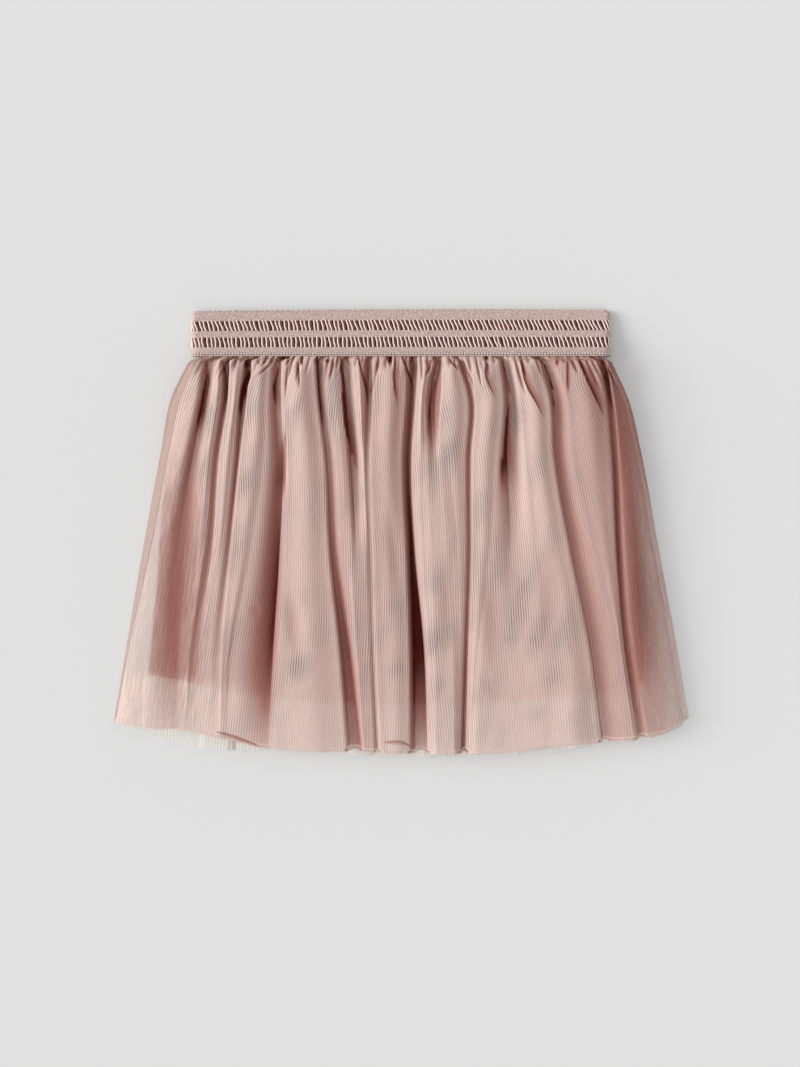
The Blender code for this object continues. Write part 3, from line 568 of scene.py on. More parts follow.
def foldedPanel(layer):
    start = ((lambda down: edgeOf("seam", down)) if layer["wrapped"] else
             (lambda down: edgeOf("left", down) + layer["inset"]))
    counts = crestColumns(start, layer)
    downs = clothRows(layer["rows"])
    made = []
    for down in downs:
        left, right = edgeOf("left", down), edgeOf("right", down) - layer["inset"]
        x, z, buried, tone = foldedRow(down, layer, counts, start(down), left, right)
        leaf, lit = leafDepth(x, down)
        dip = dent(x, down) + leafLook["dip"] * leaf
        dip *= layer["creaseScale"] * np.clip((z - layer["floor"](down)) / leafLook["fullRoom"], 0.0, 1.0)
        # painted shade in the leaves, less a painted highlight beside them, and painted shade in the dents of
        # the creases and gathers
        dark = leafLook["shade"] * leaf - leafLook["light"] * lit * (1 - leaf)
        tone = tone + leafLook["dipShade"] * dip + dark * layer["creaseScale"]
        undented, z, buried = z, z - dip, buried + dip
        if layer["wrapped"]:
            turnedX, turnedZ = quarterTurn(right, layer["foot"](down), -1)
            x, z, undented = (np.append(*pair) for pair in ((x, turnedX), (z, turnedZ), (undented, turnedZ)))
            buried = np.append(buried, np.zeros(len(turnedX)))
            tone = np.append(tone, np.full(len(turnedX), tone[-1]))
        longer = layer["longer"] * max(down, 0) * smooth((x - layer["longerFrom"]) / 10.0)
        y = placeY(x, "front", down) - longer
        made.append((np.stack([x, y, z], axis=1), buried, tone, np.stack([x, y, undented], axis=1)))
    points, buried, tone, undented = (np.array(part) for part in zip(*made))
    return points, buried, tone, downs, acrossCloth(undented)


print("fold model ready")

# node helpers


def addNode(tree, kind, **settings):
    node = tree.nodes.new(kind)
    for name, value in settings.items():
        setattr(node, name, value)
    return node


def feed(tree, socket, value):
    if isinstance(value, bpy.types.NodeSocket):
        tree.links.new(value, socket)
    elif hasattr(value, "__len__"):
        socket.default_value = (*value, 1.0) if len(value) == 3 and socket.type == "RGBA" else value
    else:
        socket.default_value = value


def feedAll(tree, sockets, values):
    for socket, value in values.items():
        feed(tree, sockets[socket], value)


def arithmetic(tree):  # sums, products and differences of any number of values
    def chained(operation):
        def join(result, *others, clamp=False):
            for left, other in zip(range(len(others), 0, -1), others):
                node = addNode(tree, "ShaderNodeMath", operation=operation, use_clamp=clamp and left == 1)
                feedAll(tree, node.inputs, {0: result, 1: other})
                result = node.outputs[0]
            return result
        return join
    return chained("ADD"), chained("MULTIPLY"), chained("SUBTRACT")


def calc(tree, operation, *values):
    node = addNode(tree, "ShaderNodeMath", operation=operation)
    feedAll(tree, node.inputs, dict(enumerate(values)))
    return node.outputs[0]


def ramp(tree, value, low, high, start=0.0, end=1.0):  # a smooth step from start to end
    node = addNode(tree, "ShaderNodeMapRange", interpolation_type="SMOOTHSTEP")
    feedAll(tree, node.inputs, dict(enumerate((value, low, high, start, end))))
    return node.outputs[0]


def blendColour(tree, share, a, b):
    node = addNode(tree, "ShaderNodeMix", data_type="RGBA", blend_type="MIX", clamp_factor=True)
    feedAll(tree, node.inputs, {0: share, 6: a, 7: b})
    return node.outputs[2]


def noiseAt(tree, across, down, acrossScale, downScale, seed=0.0, detail=2.0):
    place = addNode(tree, "ShaderNodeCombineXYZ")
    feedAll(tree, place.inputs, {0: calc(tree, "MULTIPLY", across, acrossScale),
                                 1: calc(tree, "MULTIPLY", down, downScale), 2: seed})
    noise = addNode(tree, "ShaderNodeTexNoise", noise_dimensions="3D")
    feedAll(tree, noise.inputs, {"Scale": 1.0, "Detail": detail, "Vector": place.outputs[0]})
    return noise.outputs[0]


def newGroup(name, inputs, outputs):  # a number for a Float input, three for a Color one
    group = bpy.data.node_groups.new(name, "ShaderNodeTree")
    for label, value in inputs.items():
        colour = hasattr(value, "__len__")
        kind = "NodeSocketColor" if colour else "NodeSocketFloat"
        socket = group.interface.new_socket(label, in_out="INPUT", socket_type=kind)
        socket.default_value = (*value, 1.0) if colour else value
    for label, kind in outputs.items():
        group.interface.new_socket(label, in_out="OUTPUT", socket_type="NodeSocket" + kind)
    return group, addNode(group, "NodeGroupInput").outputs, addNode(group, "NodeGroupOutput").inputs


weaving = {
    "seedStep": 37.0,  # moves the pattern of each layer aside
    "wobble": 2.4,  # how far the ribs wander
    "slant": 0.25,  # how the grey patches lean
    "twillPitch": (1.8, 2.1),  # the net's diagonals, across and down
    "twillBack": 0.2,  # how strong the other diagonal is
    "ribSpread": (0.1, 1.3),  # how weak and strong the ribs get
    "grey": (0.4, 3.8, 1.9),  # share of loose patches, stronger ribs there, and how soon shade hides them
    "crinkle": (3.0, 0.35),  # in the cover and in the light
    "threadCover": 1.2,  # how much more a rib covers
}
weaveNoises = {  # scale across and down, seed, detail
    "wobble": (0.05, 0.02, 3.0), "spread": (0.09, 0.05, 8.0), "patch": (0.06, 0.02, 21.0),
    "uneven": (0.16, 0.09, 13.0), "streak": (0.85, 0.06, 5.0, 3.0),
}
weaveRamps = {"spread": (0.36, 0.62), "patch": (0.47, 0.70), "netDown": (30.0, 120.0, 1.0, 0.35)}


def makeTulleWeave():
    group, given, result = newGroup("tulleWeave", {
        "Across": 0.0, "Down": 0.0, "Shade": 0.0, "Cover": 0.5, "Pitch": 1.5, "Rib": 0.2, "Twill": 0.1,
        "Crinkle": 0.2, "Blotch": 0.3, "Patch": 0.0, "Seed": 0.0, "Lit": (0.735, 0.55, 0.495),
        "Rose": (0.385, 0.165, 0.137), "Deep": (0.085, 0.009, 0.006), "Grey": (0.43, 0.345, 0.32),
    }, {"Colour": "Color", "Coverage": "Float", "Height": "Float"})
    plus, times, minus = arithmetic(group)
    down, shade = given["Down"], given["Shade"]
    across = plus(given["Across"], times(given["Seed"], weaving["seedStep"]))
    slanted = plus(across, times(down, weaving["slant"]))
    noises = {name: noiseAt(group, slanted if name == "patch" else across, down, *noise)
              for name, noise in weaveNoises.items()}

    # ribs, stronger in some places than in others
    turns = calc(group, "DIVIDE", plus(across, times(noises["wobble"], weaving["wobble"])), given["Pitch"])
    wave = calc(group, "SINE", times(turns, 2 * math.pi))
    spread = ramp(group, noises["spread"], *weaveRamps["spread"], *weaving["ribSpread"])

    # grey patches, loose ones and placed ones: the lining showing where the layers lie close, with painted
    # satin sheen and painted shade
    loose, ribsThere, hidden = weaving["grey"]
    uneven = plus(0.25, times(noises["uneven"], 1.6))
    patch = ramp(group, noises["patch"], *weaveRamps["patch"])
    grey = plus(times(patch, loose), times(given["Patch"], uneven), clamp=True)
    grey = times(grey, minus(1.0, times(shade, hidden), clamp=True), given["Blotch"])
    ribbing = times(wave, given["Rib"], plus(spread, times(grey, ribsThere)))

    # the net's diagonals, clearest near the gathers
    pitches = [2 * math.pi / pitch for pitch in weaving["twillPitch"]]
    lean, back = (calc(group, "SINE", plus(times(across, pitches[0]), times(down, way * pitches[1])))
                  for way in (-1.0, 1.0))
    upper = ramp(group, down, *weaveRamps["netDown"])
    net = times(plus(lean, times(back, weaving["twillBack"])), given["Twill"], upper, spread)
    ribbing = plus(ribbing, net)
    inCover, inLight = weaving["crinkle"]
    crinkle = times(minus(noises["streak"], 0.5), inCover, given["Crinkle"])

    # lit, then rose, then deep as the shade grows; a shade below 0 is lighter still
    colour = blendColour(group, times(shade, 2.0, clamp=True), given["Lit"], given["Rose"])
    colour = blendColour(group, minus(times(shade, 2.0), 1.0, clamp=True), colour, given["Deep"])
    colour = blendColour(group, grey, colour, given["Grey"])
    lifted = calc(group, "MAXIMUM", times(shade, -1.0), 0.0)
    light = plus(1.0, ribbing, times(crinkle, inLight), lifted)
    scale = addNode(group, "ShaderNodeVectorMath", operation="SCALE")
    feedAll(group, scale.inputs, {0: colour, "Scale": light})
    thick = plus(1.0, times(ribbing, weaving["threadCover"]), crinkle)
    feedAll(group, result, {"Colour": scale.outputs[0], "Coverage": times(given["Cover"], thick, clamp=True),
                            "Height": plus(wave, crinkle)})
    return group


tulleWeave = makeTulleWeave()


def attributeOf(tree, name):
    return addNode(tree, "ShaderNodeAttribute", attribute_name=name).outputs["Fac"]


def newMaterial(name, values):
    material = bpy.data.materials.new(name)
    material.use_nodes = True
    tree = material.node_tree
    inputs = tree.nodes["Principled BSDF"].inputs
    feedAll(tree, inputs, values)
    return material, tree, inputs


def bump(tree, inputs, height, strength, distance):
    node = addNode(tree, "ShaderNodeBump")
    feedAll(tree, node.inputs, {"Strength": strength, "Distance": distance * mm, "Height": height})
    feed(tree, inputs["Normal"], node.outputs[0])


tulleSurface = {
    "sockets": {"Roughness": 0.8, "Specular IOR Level": 0.15}, "passes": 0.55, "bump": (0.35, 0.12),
}


def tulleMaterial(name, look):
    material, tree, inputs = newMaterial(name, tulleSurface["sockets"])
    weave = addNode(tree, "ShaderNodeGroup", node_tree=tulleWeave)
    for label, source in (("Across", "across"), ("Down", "along"), ("Shade", "shade"), ("Cover", "cover"),
                          ("Crinkle", "crinkle"), ("Patch", "patch")):
        feed(tree, weave.inputs[label], attributeOf(tree, source))
    feedAll(tree, weave.inputs, look)
    path = addNode(tree, "ShaderNodeLightPath").outputs
    scattered = calc(tree, "MAXIMUM", path["Is Shadow Ray"], path["Is Diffuse Ray"])
    passes = calc(tree, "MULTIPLY", scattered, tulleSurface["passes"])  # threads pass light on
    feedAll(tree, inputs, {"Base Color": weave.outputs["Colour"],
                           "Alpha": calc(tree, "MULTIPLY", weave.outputs["Coverage"],
                                         calc(tree, "SUBTRACT", 1.0, passes))})
    bump(tree, inputs, weave.outputs["Height"], *tulleSurface["bump"])
    return material


tulleLooks = {
    "outer": {"Pitch": 1.5, "Rib": 0.088, "Twill": 0.055, "Blotch": 1.15, "Seed": 0.0},
    "under": {"Pitch": 1.62, "Rib": 0.14, "Twill": 0.0, "Blotch": 0.3, "Seed": 4.0},
    "back": {"Pitch": 1.55, "Rib": 0.10, "Twill": 0.0, "Blotch": 0.0, "Seed": 9.0,
             "Lit": (0.88, 0.86, 0.79), "Rose": (0.62, 0.43, 0.365)},
    "hem": {"Pitch": 1.5, "Rib": 0.10, "Twill": 0.0, "Blotch": 0.0, "Seed": 2.0, "Lit": (0.80, 0.63, 0.56)},
}
tulleMaterials = {name: tulleMaterial("tulle_" + name, look) for name, look in tulleLooks.items()}


def finishPiece(piece, material, node=None):  # node is what the piece replaces
    piece.data.materials.append(material)
    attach(piece, "root")
    if node:
        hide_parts(node)
    return piece


panels = {}


def addPanel(name, points, downs, material, slot, node, **values):
    if "across" not in values:
        values["across"] = acrossCloth(points)
    piece = finishPiece(clothMesh(name, points, along=downCloth(downs), **values), material, node)
    panels[name] = {"piece": piece, "points": points, "downs": downs}
    print(name, "made,", len(piece.data.polygons), "faces")


# folded tulle, front
# how much each mask in frontValues adds to the shade, the cover and the crinkle; the shade is painted shade,
# deeper in the hollows (buried), on slopes that face away from the light (away) and on the right side, which
# is turned from it (right)
frontLook = {
    "shade": {"buried": 0.006, "steep": 0.05, "away": 0.46, "side": 0.09, "lowLeft": -0.09, "right": 0.42},
    "cover": {"all": 0.62, "side": -0.35, "right": 0.33, "lowLeft": 0.22, "steep": 0.35, "deep": 0.35},
    "crinkle": {"all": 0.10, "side": 0.75, "right": -0.35},
    "shadeRange": (-0.3, 1.0), "coverRange": (0.0, 0.97), "edgeLess": (0.55, 0.6), "deepFrom": 0.3,
    "steepScale": 1.3,
}
areas = {  # where each begins, and how softly, across and up in millimetres and down as a share
    "plainLeft": (-108.0, 20.0), "plainRight": (132.0, 14.0), "plainDown": (0.15, 0.35),
    "lowLeft": (-75.0, 30.0), "lowDown": (0.835, 0.05), "rightEdge": (-17.0, 14.0), "lower": (0.6, 0.4),
    "liningLeft": (-148.0, 14.0), "liningRight": (143.0, 14.0), "liningFoot": (0.86, 0.08),
    "roundTheSide": (2.6, 1.5),
}


def weighted(kind, **masks):
    return sum(weight * masks[name] for name, weight in frontLook[kind].items())


def past(area, at, way=1):  # 0 before an area begins, 1 in it
    begin, soft = areas[area]
    return smooth(way * (at - begin) / soft)


def frontValues(points, downs, buried, tone):
    steep, away = steepness(points)
    x, down = points[..., 0], downs[:, None]
    side = np.maximum(past("plainLeft", x, -1), past("plainRight", x)) * past("plainDown", down)
    right = side * (x > 0)
    lowLeft = past("lowLeft", x, -1) * past("lowDown", down)
    atRight = past("rightEdge", x - x.max(axis=1, keepdims=True))
    shadeRight, coverRight = (right * (1 - less * atRight) for less in frontLook["edgeLess"])
    # painted shade: the folds' painted shading, more in the hollows, on slopes facing away from the light and
    # on the right side turned from it
    shade = tone + weighted("shade", buried=buried, steep=smooth(steep * frontLook["steepScale"]),
                            away=away * (1 - right), side=side, lowLeft=lowLeft,
                            right=shadeRight * (1 - past("lower", down)))
    cover = weighted("cover", all=1, side=side, right=coverRight, lowLeft=lowLeft, steep=steep * (1 - side),
                     deep=np.clip(tone - frontLook["deepFrom"], 0, 1))
    return {"shade": np.clip(shade, *frontLook["shadeRange"]),
            "cover": np.clip(cover, *frontLook["coverRange"]),
            "crinkle": weighted("crinkle", all=1, side=side, right=right * (1 - atRight)),
            "patch": patchiness(points)}


for name, layer, node, slot in (("tulleUnderFront", underFront, "tulle_under_front", "tulle_under"),
                                ("tulleOuterFront", outerFront, "tulle_outer_front", "tulle")):
    points, buried, tone, downs, across = foldedPanel(layer)
    values = frontValues(points, downs, buried, tone)
    addPanel(name, points, downs, tulleMaterials[layer["look"]], slot, node, across=across, **values)

# back tulle and lining

backTulle = {
    "rows": 70, "columns": 420, "wrapColumns": 10, "outer": 0.15, "under": 0.7,  # heights of the two layers
    "tucked": 2.0, "pleat": 0.8, "soft": 5.0, "crisp": 1.6,
}
backLook = {  # pairs are (everywhere, and more over the lining)
    "lining": 0.42, "pleat": (0.03, 0.09), "edge": (0.10, 0.16), "round": 0.72,
    "cover": 0.42, "roundCover": 0.16, "liningCover": 0.30, "crinkle": (0.30, -0.15),
}
# the pressed pleats on the back: x at the band, half way and at the hem, width at both ends, and reach
backPleats = table(
    "x wide reach",
    ((-108.0, -125.0, -139.0), (5.0, 15.0), 0.8), ((-92.0, -100.0, -112.0), (6.0, 17.0), 1.3),
    ((-71.0, -75.5, -83.0), (5.0, 9.0), 0.62), ((-52.0, -57.0, -57.0), (8.0, 21.0), 1.3),
    ((-27.0, -28.0, -24.0), (5.0, 12.0), 1.3), ((-6.0, -3.0, -2.0), (6.0, 9.0), 0.5),
    ((14.0, 16.0, 22.0), (7.0, 20.0), 1.3), ((37.0, 47.0, 52.0), (5.0, 11.0), 0.75),
    ((58.0, 66.0, 78.0), (8.0, 18.0), 1.3), ((84.0, 99.0, 108.0), (6.0, 12.0), 1.3),
    ((104.0, 122.0, 137.0), (5.0, 13.0), 0.7),
)


def pleatLift(x, down):  # 1 on top of a pleat, 0 beside it; and the same for its crisp edge
    lift, edge = np.zeros_like(x), np.zeros_like(x)
    for pleat in backPleats:
        centre = through((0.0, 0.5, 1.0), pleat["x"], down)
        half = (pleat["wide"][0] + (pleat["wide"][1] - pleat["wide"][0]) * max(down, 0)) / 2
        fade = smooth((pleat["reach"] - down) / 0.3)
        crisp = smooth((half - x + centre) / backTulle["crisp"] + 0.5)
        shape = np.minimum(smooth((half + x - centre) / backTulle["soft"] + 0.5), crisp)
        lift = np.maximum(lift, fade * shape)
        edge = np.maximum(edge, 4 * fade * crisp * (1 - crisp))
    return lift, edge


def backValues(points, downs):  # deeper where the lining shows through and round the side, with painted shade along the pleats, most at their crisp edges
    x, down = points[..., 0], downs[:, None]
    over = past("liningLeft", x) * past("liningRight", x, -1) * past("liningFoot", down, -1)
    lift, edge = np.array([pleatLift(row, down) for row, down in zip(x, downs)]).swapaxes(0, 1)
    pairs = (backLook[name] for name in ("pleat", "edge", "crinkle"))
    pleat, crisp, crinkle = (everywhere + more * over for everywhere, more in pairs)
    deeper = backLook["lining"] * over + pleat * lift + crisp * edge
    turned = past("roundTheSide", points[..., 2])
    shade = np.clip(np.maximum(backLook["round"] * turned, deeper * (1 - turned)), 0.0, 1.0)
    cover = backLook["cover"] + backLook["roundCover"] * turned
    cover = cover + backLook["liningCover"] * over * (1 - turned)
    return {"shade": shade, "cover": cover, "crinkle": crinkle}


def backPanel(base, inset, wrappedLeft):
    downs = clothRows(backTulle["rows"])
    share = np.linspace(0, 1, backTulle["columns"])
    rows = []
    for down in downs:
        left, right = edgeOf("left", down), edgeOf("right", down)
        free = smooth(down / 0.07)
        x = left + inset + (right - left - 2 * inset) * share
        z = base + (backTulle["tucked"] - base) * (1 - free)
        z = z + backTulle["pleat"] * pleatLift(x, down)[0] * free
        if wrappedLeft:
            top = np.linspace(edgeOf("seam", down), left, backTulle["wrapColumns"])
            turnedX, turnedZ = quarterTurn(left, outerFront["foot"](down), 1)
            x = np.concatenate([top, turnedX[:-1], x])
            z = np.concatenate([sideHeight(top - left, down), np.maximum(turnedZ[:-1], base), z])
        rows.append(np.stack([x, placeY(x, "back", down), z], axis=1))
    return np.array(rows), downs


for name, base, inset, wrapped, slot, node in (
    ("tulleUnderBack", backTulle["under"], 4.0, False, "tulle_under", "tulle_under_back"),
    ("tulleOuterBack", backTulle["outer"], 5.5, True, "tulle", "tulle_outer_back"),
):
    points, downs = backPanel(base, inset, wrapped)
    addPanel(name, points, downs, tulleMaterials["back"], slot, node, **backValues(points, downs))

liningCloth = {
    "left": (-118.0, -128.0, -137.0, -144.0, -147.5, -151.8),
    "right": (116.0, 126.0, 135.0, 141.0, 143.8, 146.4),
    "rows": 90, "columns": 150, "back": 1.9, "front": 2.5, "ripple": 0.7,
}


def liningPanel(base, belly):
    downs = clothRows(liningCloth["rows"])
    share = np.linspace(0, 1, liningCloth["columns"])
    rows = []
    for down in downs:
        left = level(liningCloth["left"], down) + drawnIn(down)
        right = level(liningCloth["right"], down) - drawnIn(down)
        x = left + (right - left) * share
        wave = np.sin(share * 34 + 1.3 * math.sin(5 * down)) * np.sin(share * 13 + 4 * down + 1.0)
        swell = belly * smooth(down / 0.07) * (0.6 + liningCloth["ripple"] * wave)
        z = base + swell * np.sin(math.pi * share) ** 0.5
        rows.append(np.stack([x, placeY(x, "lining", down), z], axis=1))
    return np.array(rows), downs


satinLook = {
    "sockets": {"Roughness": 0.42, "Sheen Weight": 0.2}, "bump": (0.2, 0.1),
    "deep": (0.31, 0.085, 0.062), "rose": (0.42, 0.18, 0.145), "thread": (0.46, 0.28, 0.24), "threads": 0.25,
    "patches": (0.035, 0.022, 2.0), "fine": (1.6, 0.5, 6.0, 1.0),  # noises, as in weaveNoises
}


def makeSatin():
    material, tree, inputs = newMaterial("lining_satin", satinLook["sockets"])
    across, down = attributeOf(tree, "across"), attributeOf(tree, "along")
    patch, fine = (noiseAt(tree, across, down, *satinLook[name]) for name in ("patches", "fine"))
    # painted satin sheen: the colour goes in soft patches from deep to lighter rose
    colour = blendColour(tree, patch, satinLook["deep"], satinLook["rose"])
    threads = calc(tree, "MULTIPLY", fine, satinLook["threads"])
    feed(tree, inputs["Base Color"], blendColour(tree, threads, colour, satinLook["thread"]))
    bump(tree, inputs, fine, *satinLook["bump"])
    return material


satin = makeSatin()
for name, base, belly, node in (("liningBack", liningCloth["back"], 0.0, "lining_back"),
                                ("liningFront", liningCloth["front"], 0.9, "lining_front")):
    addPanel(name, *liningPanel(base, belly), satin, "lining", node)

# hems

hemEdge = {"pitch": 1.7, "inside": 0.45, "tooth": 0.6, "notch": 0.05, "over": 0.08}
hemRows = table(  # first is the panel's first column that has a hem
    "panel name slot look shade cover first",
    ("tulleOuterFront", "hemOuterFront", "tulle", "hem", 0.10, 0.7, 0),
    ("tulleUnderFront", "hemUnderFront", "tulle_under", "hem", 0.14, 0.7, 0),
    ("tulleUnderBack", "hemUnderBack", "tulle_under", "back", 0.05, 0.5, 0),
    ("tulleOuterBack", "hemOuterBack", "tulle", "back", 0.05, 0.5, 14),
    ("liningFront", "hemLining", "lining", "hem", 0.06, 0.8, 0),
)


def lengthsAlong(line):
    return np.append(0, np.cumsum(np.linalg.norm(np.diff(line, axis=0), axis=1)))


def pointsAt(at, length, line):
    return np.stack([np.interp(at, length, line[:, k]) for k in range(3)], axis=1)


def hemStrip(panel, name, slot, look, shade, cover, first):  # a zigzag cut edge along a panel's last row
    points = panels[panel]["points"][:, first:]
    length = lengthsAlong(points[-1])
    count = int(length[-1] / hemEdge["pitch"] * 2)
    at = np.linspace(0, length[-1], count)
    here, back = pointsAt(at, length, points[-1]), pointsAt(at, length, points[-3])
    way = here - back
    way /= np.maximum(np.linalg.norm(way, axis=1, keepdims=True), 1e-9)
    tooth = np.where(np.arange(count) % 2 == 0, hemEdge["tooth"], -hemEdge["notch"])[:, None]
    strip = np.stack([here - way * hemEdge["inside"], here + way * tooth]) + (0, 0, hemEdge["over"])
    piece = clothMesh(name, strip, shade=shade, cover=cover, crinkle=0.1, across=at, along=((0.0,), (1.0,)))
    return finishPiece(piece, tulleMaterials[look])


hems = {hem["panel"]: hemStrip(**hem) for hem in hemRows}
# where the front hem curls over: x, y of its upper edge and how wide the curl is
hemCurls = table(
    "name x y wide",
    ("hemCurlLeft", (-110.6, -104.4, -96.6, -90.0, -84.9), (-119.0, -120.0, -122.6, -125.2, -127.6),
     (0.5, 3.2, 3.4, 2.4, 0.8)),
    ("hemCurlMiddle", (-10.2, -6.0, -0.6, 3.6, 6.9), (-125.4, -124.6, -124.6, -126.2, -128.8),
     (0.5, 2.4, 3.0, 2.2, 0.7)),
)
curlRows = {
    "share": (0.0, 0.3, 0.65, 1.0), "shade": (0.42, 0.50, 0.30, 0.10), "cover": (0.85, 0.85, 0.6, 0.3),
    "step": 0.75, "tooth": 0.45, "over": 0.5, "round": 0.5,
}


def hemCurl(curl):  # the cut edge's teeth, with painted shade below them in dark pink for the shaded inside of the curled cloth
    first, last = curl["x"][0], curl["x"][-1]
    x = np.linspace(first, last, int((last - first) / curlRows["step"]))
    upper = through(curl["x"], curl["y"], x) + np.where(np.arange(len(x)) % 2 == 0, curlRows["tooth"], 0.0)
    wide = np.interp(x, curl["x"], curl["wide"])
    front = panels["tulleOuterFront"]["points"][-1]
    front = front[np.argsort(front[:, 0])]
    z = np.interp(x, front[:, 0], front[:, 2]) + curlRows["over"]
    rows = [np.stack([x, upper - wide * share, z + curlRows["round"] * math.sin(math.pi * share)], axis=1)
            for share in curlRows["share"]]
    shade, cover = (np.array(curlRows[name])[:, None] for name in ("shade", "cover"))
    piece = clothMesh(curl["name"], np.array(rows), shade=shade, cover=cover, crinkle=0.1, across=x,
                      along=np.arange(len(rows))[:, None])
    return finishPiece(piece, tulleMaterials["outer"])


curls = [hemCurl(curl) for curl in hemCurls]
tuck = {"x": (-101.6, -99.4), "y": (-122.6, -130.4), "z": 4.2}  # the narrow strip below the front hem
corners = np.array([[[x, y, tuck["z"]] for x in tuck["x"]] for y in tuck["y"]])
hemTuck = clothMesh("hemTuck", corners, shade=0.34, cover=0.7, crinkle=0.1, across=(0.0, 2.2),
                    along=((0.0,), (8.0,)))
finishPiece(hemTuck, tulleMaterials["outer"])
print("hems made")

# waistband

band = {
    "foot": 105.6, "top": 134.4, "topAt": 41.0, "sag": 1.2, "half": 126.0, "perimeter": 510.0,
    "endRound": 2.0, "roundFrom": 0.91,  # how far the ends draw in at the top, and from what share up
    "shares": (0.0, 0.16, 0.3, 0.5, 0.75, 0.94, 1.0), "thick": (10.5, 10.5, 9.0, 7.0, 5.2, 4.2, 4.0),
    "strips": ((0.03, 0.21), (0.42, 0.57), (0.78, 1.0)),  # solid weave, as shares of the band's height
    "openings": ((0.21, 0.42), (0.57, 0.78)),
    "wall": 1.0, "puff": 0.12, "rows": 7, "around": 640, "picot": 0.012, "insideAt": 1.35, "insideOver": 0.02,
    "rungs": 202, "rungSteps": 7, "uneven": 0.12, "unevenLean": 0.3, "sway": 0.18, "rungOver": 0.012,
    "lowerLean": (-0.35, 0.5, 31.0),  # the lower row's, how much it varies and how slowly
    "upperLean": (1.35, -1.1, -55.0, 30.0),  # the upper row's, how much less about one place
    "bright": {"beside": 0.0, "inset": 0.2, "radius": 0.47},
    "deep": {"beside": 1.05, "inset": 0.8, "radius": 0.36},
    "ringSteps": 500, "footEdge": (0.030, 0.3, 0.5, 8), "groove": (0.068, 0.08, 0.58, 6),
    # both rings have their share of the height, inset, radius and sides
    "stitches": 300, "stitchAt": 0.068, "stitchSpan": (0.22, 0.74), "stitchOver": 0.22, "stitchBow": 0.14,
    "stitchRadius": 0.42,
}


def bandPoint(turn, share, inset):  # turn goes once round the band, inset in from its outer face
    thickness = np.interp(share, band["shares"], band["thick"])
    rounding = max(0.0, (share - band["roundFrom"]) / (1 - band["roundFrom"]))
    radius = thickness / 2
    reach = band["half"] - band["endRound"] * rounding ** 2 - radius
    straight, bend = 2 * reach, math.pi * radius
    at = (turn % 1.0) * 2 * (straight + bend)
    way = 1 if at < straight + bend else -1  # along the front, then along the back
    at -= 0 if way == 1 else straight + bend
    if at < straight:
        x, z = way * (at - reach), radius + way * (radius - inset)
    else:
        angle = (at - straight) / radius
        x = way * (reach + (radius - inset) * math.sin(angle))
        z = radius + way * (radius - inset) * math.cos(angle)
    top = band["top"] - band["sag"] * ((x - band["topAt"]) / (band["half"] + band["topAt"])) ** 2
    return x, band["foot"] + (top - band["foot"]) * share, z


def bandStrips():
    vertices, faces = [], []
    up = np.arange(band["rows"]) / (band["rows"] - 1)
    for low, high in band["strips"]:  # up the outer face, slightly puffed, then down the inner one
        section = [(low + (high - low) * t, -band["puff"] * math.sin(math.pi * t)) for t in up]
        section += [(high - (high - low) * t, band["wall"]) for t in up]
        faces += gridFaces(band["around"], len(section), len(vertices), joinRows=True, joinColumns=True)
        for j in range(band["around"]):
            picot = band["picot"] if j % 4 < 2 else 0.0
            vertices += [bandPoint(j / band["around"], share + (picot if share == 1.0 else 0.0), inset)
                         for share, inset in section]
    return meshPiece("waistbandWeave", vertices, faces)


def addTube(vertices, faces, path, radius, sides):
    path = np.asarray(path, float)
    ahead = np.gradient(path, axis=0)
    ahead /= np.linalg.norm(ahead, axis=1, keepdims=True)
    sideways = np.cross(ahead, (0.31, 0.17, 0.93))  # any direction that no path runs along
    sideways /= np.linalg.norm(sideways, axis=1, keepdims=True)
    other = np.cross(sideways, ahead)
    turn = (2 * math.pi * np.arange(sides) / sides)[:, None]
    base, last = len(vertices), len(vertices) + (len(path) - 1) * sides
    for p, s, o in zip(path, sideways, other):
        vertices.extend(p + radius * (s * np.cos(turn) + o * np.sin(turn)))
    faces += gridFaces(len(path), sides, base, joinColumns=True, flip=True)
    faces += [tuple(range(base + sides - 1, base - 1, -1)), tuple(range(last, last + sides))]


def tubes(name, paths, radius, sides=6):
    vertices, faces = [], []
    for path in paths:
        addTube(vertices, faces, path, radius, sides)
    return meshPiece(name, vertices, faces)


def bandRungs():  # each rung is a bright twisted cord, pale yarn with a painted highlight on its lit side, with a flatter, deeper one beside it, yarn with painted shade on the rung's side away from the light
    cords = {"bright": [], "deep": []}
    for row, (low, high) in enumerate(band["openings"]):
        for i in range(band["rungs"]):
            turn = (i + random.uniform(-band["uneven"], band["uneven"])) / band["rungs"]
            x = bandPoint(turn, low, 0)[0]
            if row == 0:
                lean, varies, slowly = band["lowerLean"]
                lean += varies * math.sin(x / slowly)
            else:
                lean, varies, middle, wide = band["upperLean"]
                lean += varies * math.exp(-((x - middle) / wide) ** 2)
            lean += random.uniform(-band["unevenLean"], band["unevenLean"])
            for kind, paths in cords.items():
                path = []
                for t in np.linspace(0, 1, band["rungSteps"]):
                    aside = band[kind]["beside"] + lean * (0.5 - t)
                    aside += band["sway"] * math.sin(t * math.pi * 2 + i)
                    share = low - band["rungOver"] + (high - low + 2 * band["rungOver"]) * t
                    path.append(bandPoint(turn + aside / band["perimeter"], share, band[kind]["inset"]))
                paths.append(path)
    return (tubes("waistbandRungs", cords["bright"], band["bright"]["radius"]),
            tubes("waistbandRungsDeep", cords["deep"], band["deep"]["radius"]))


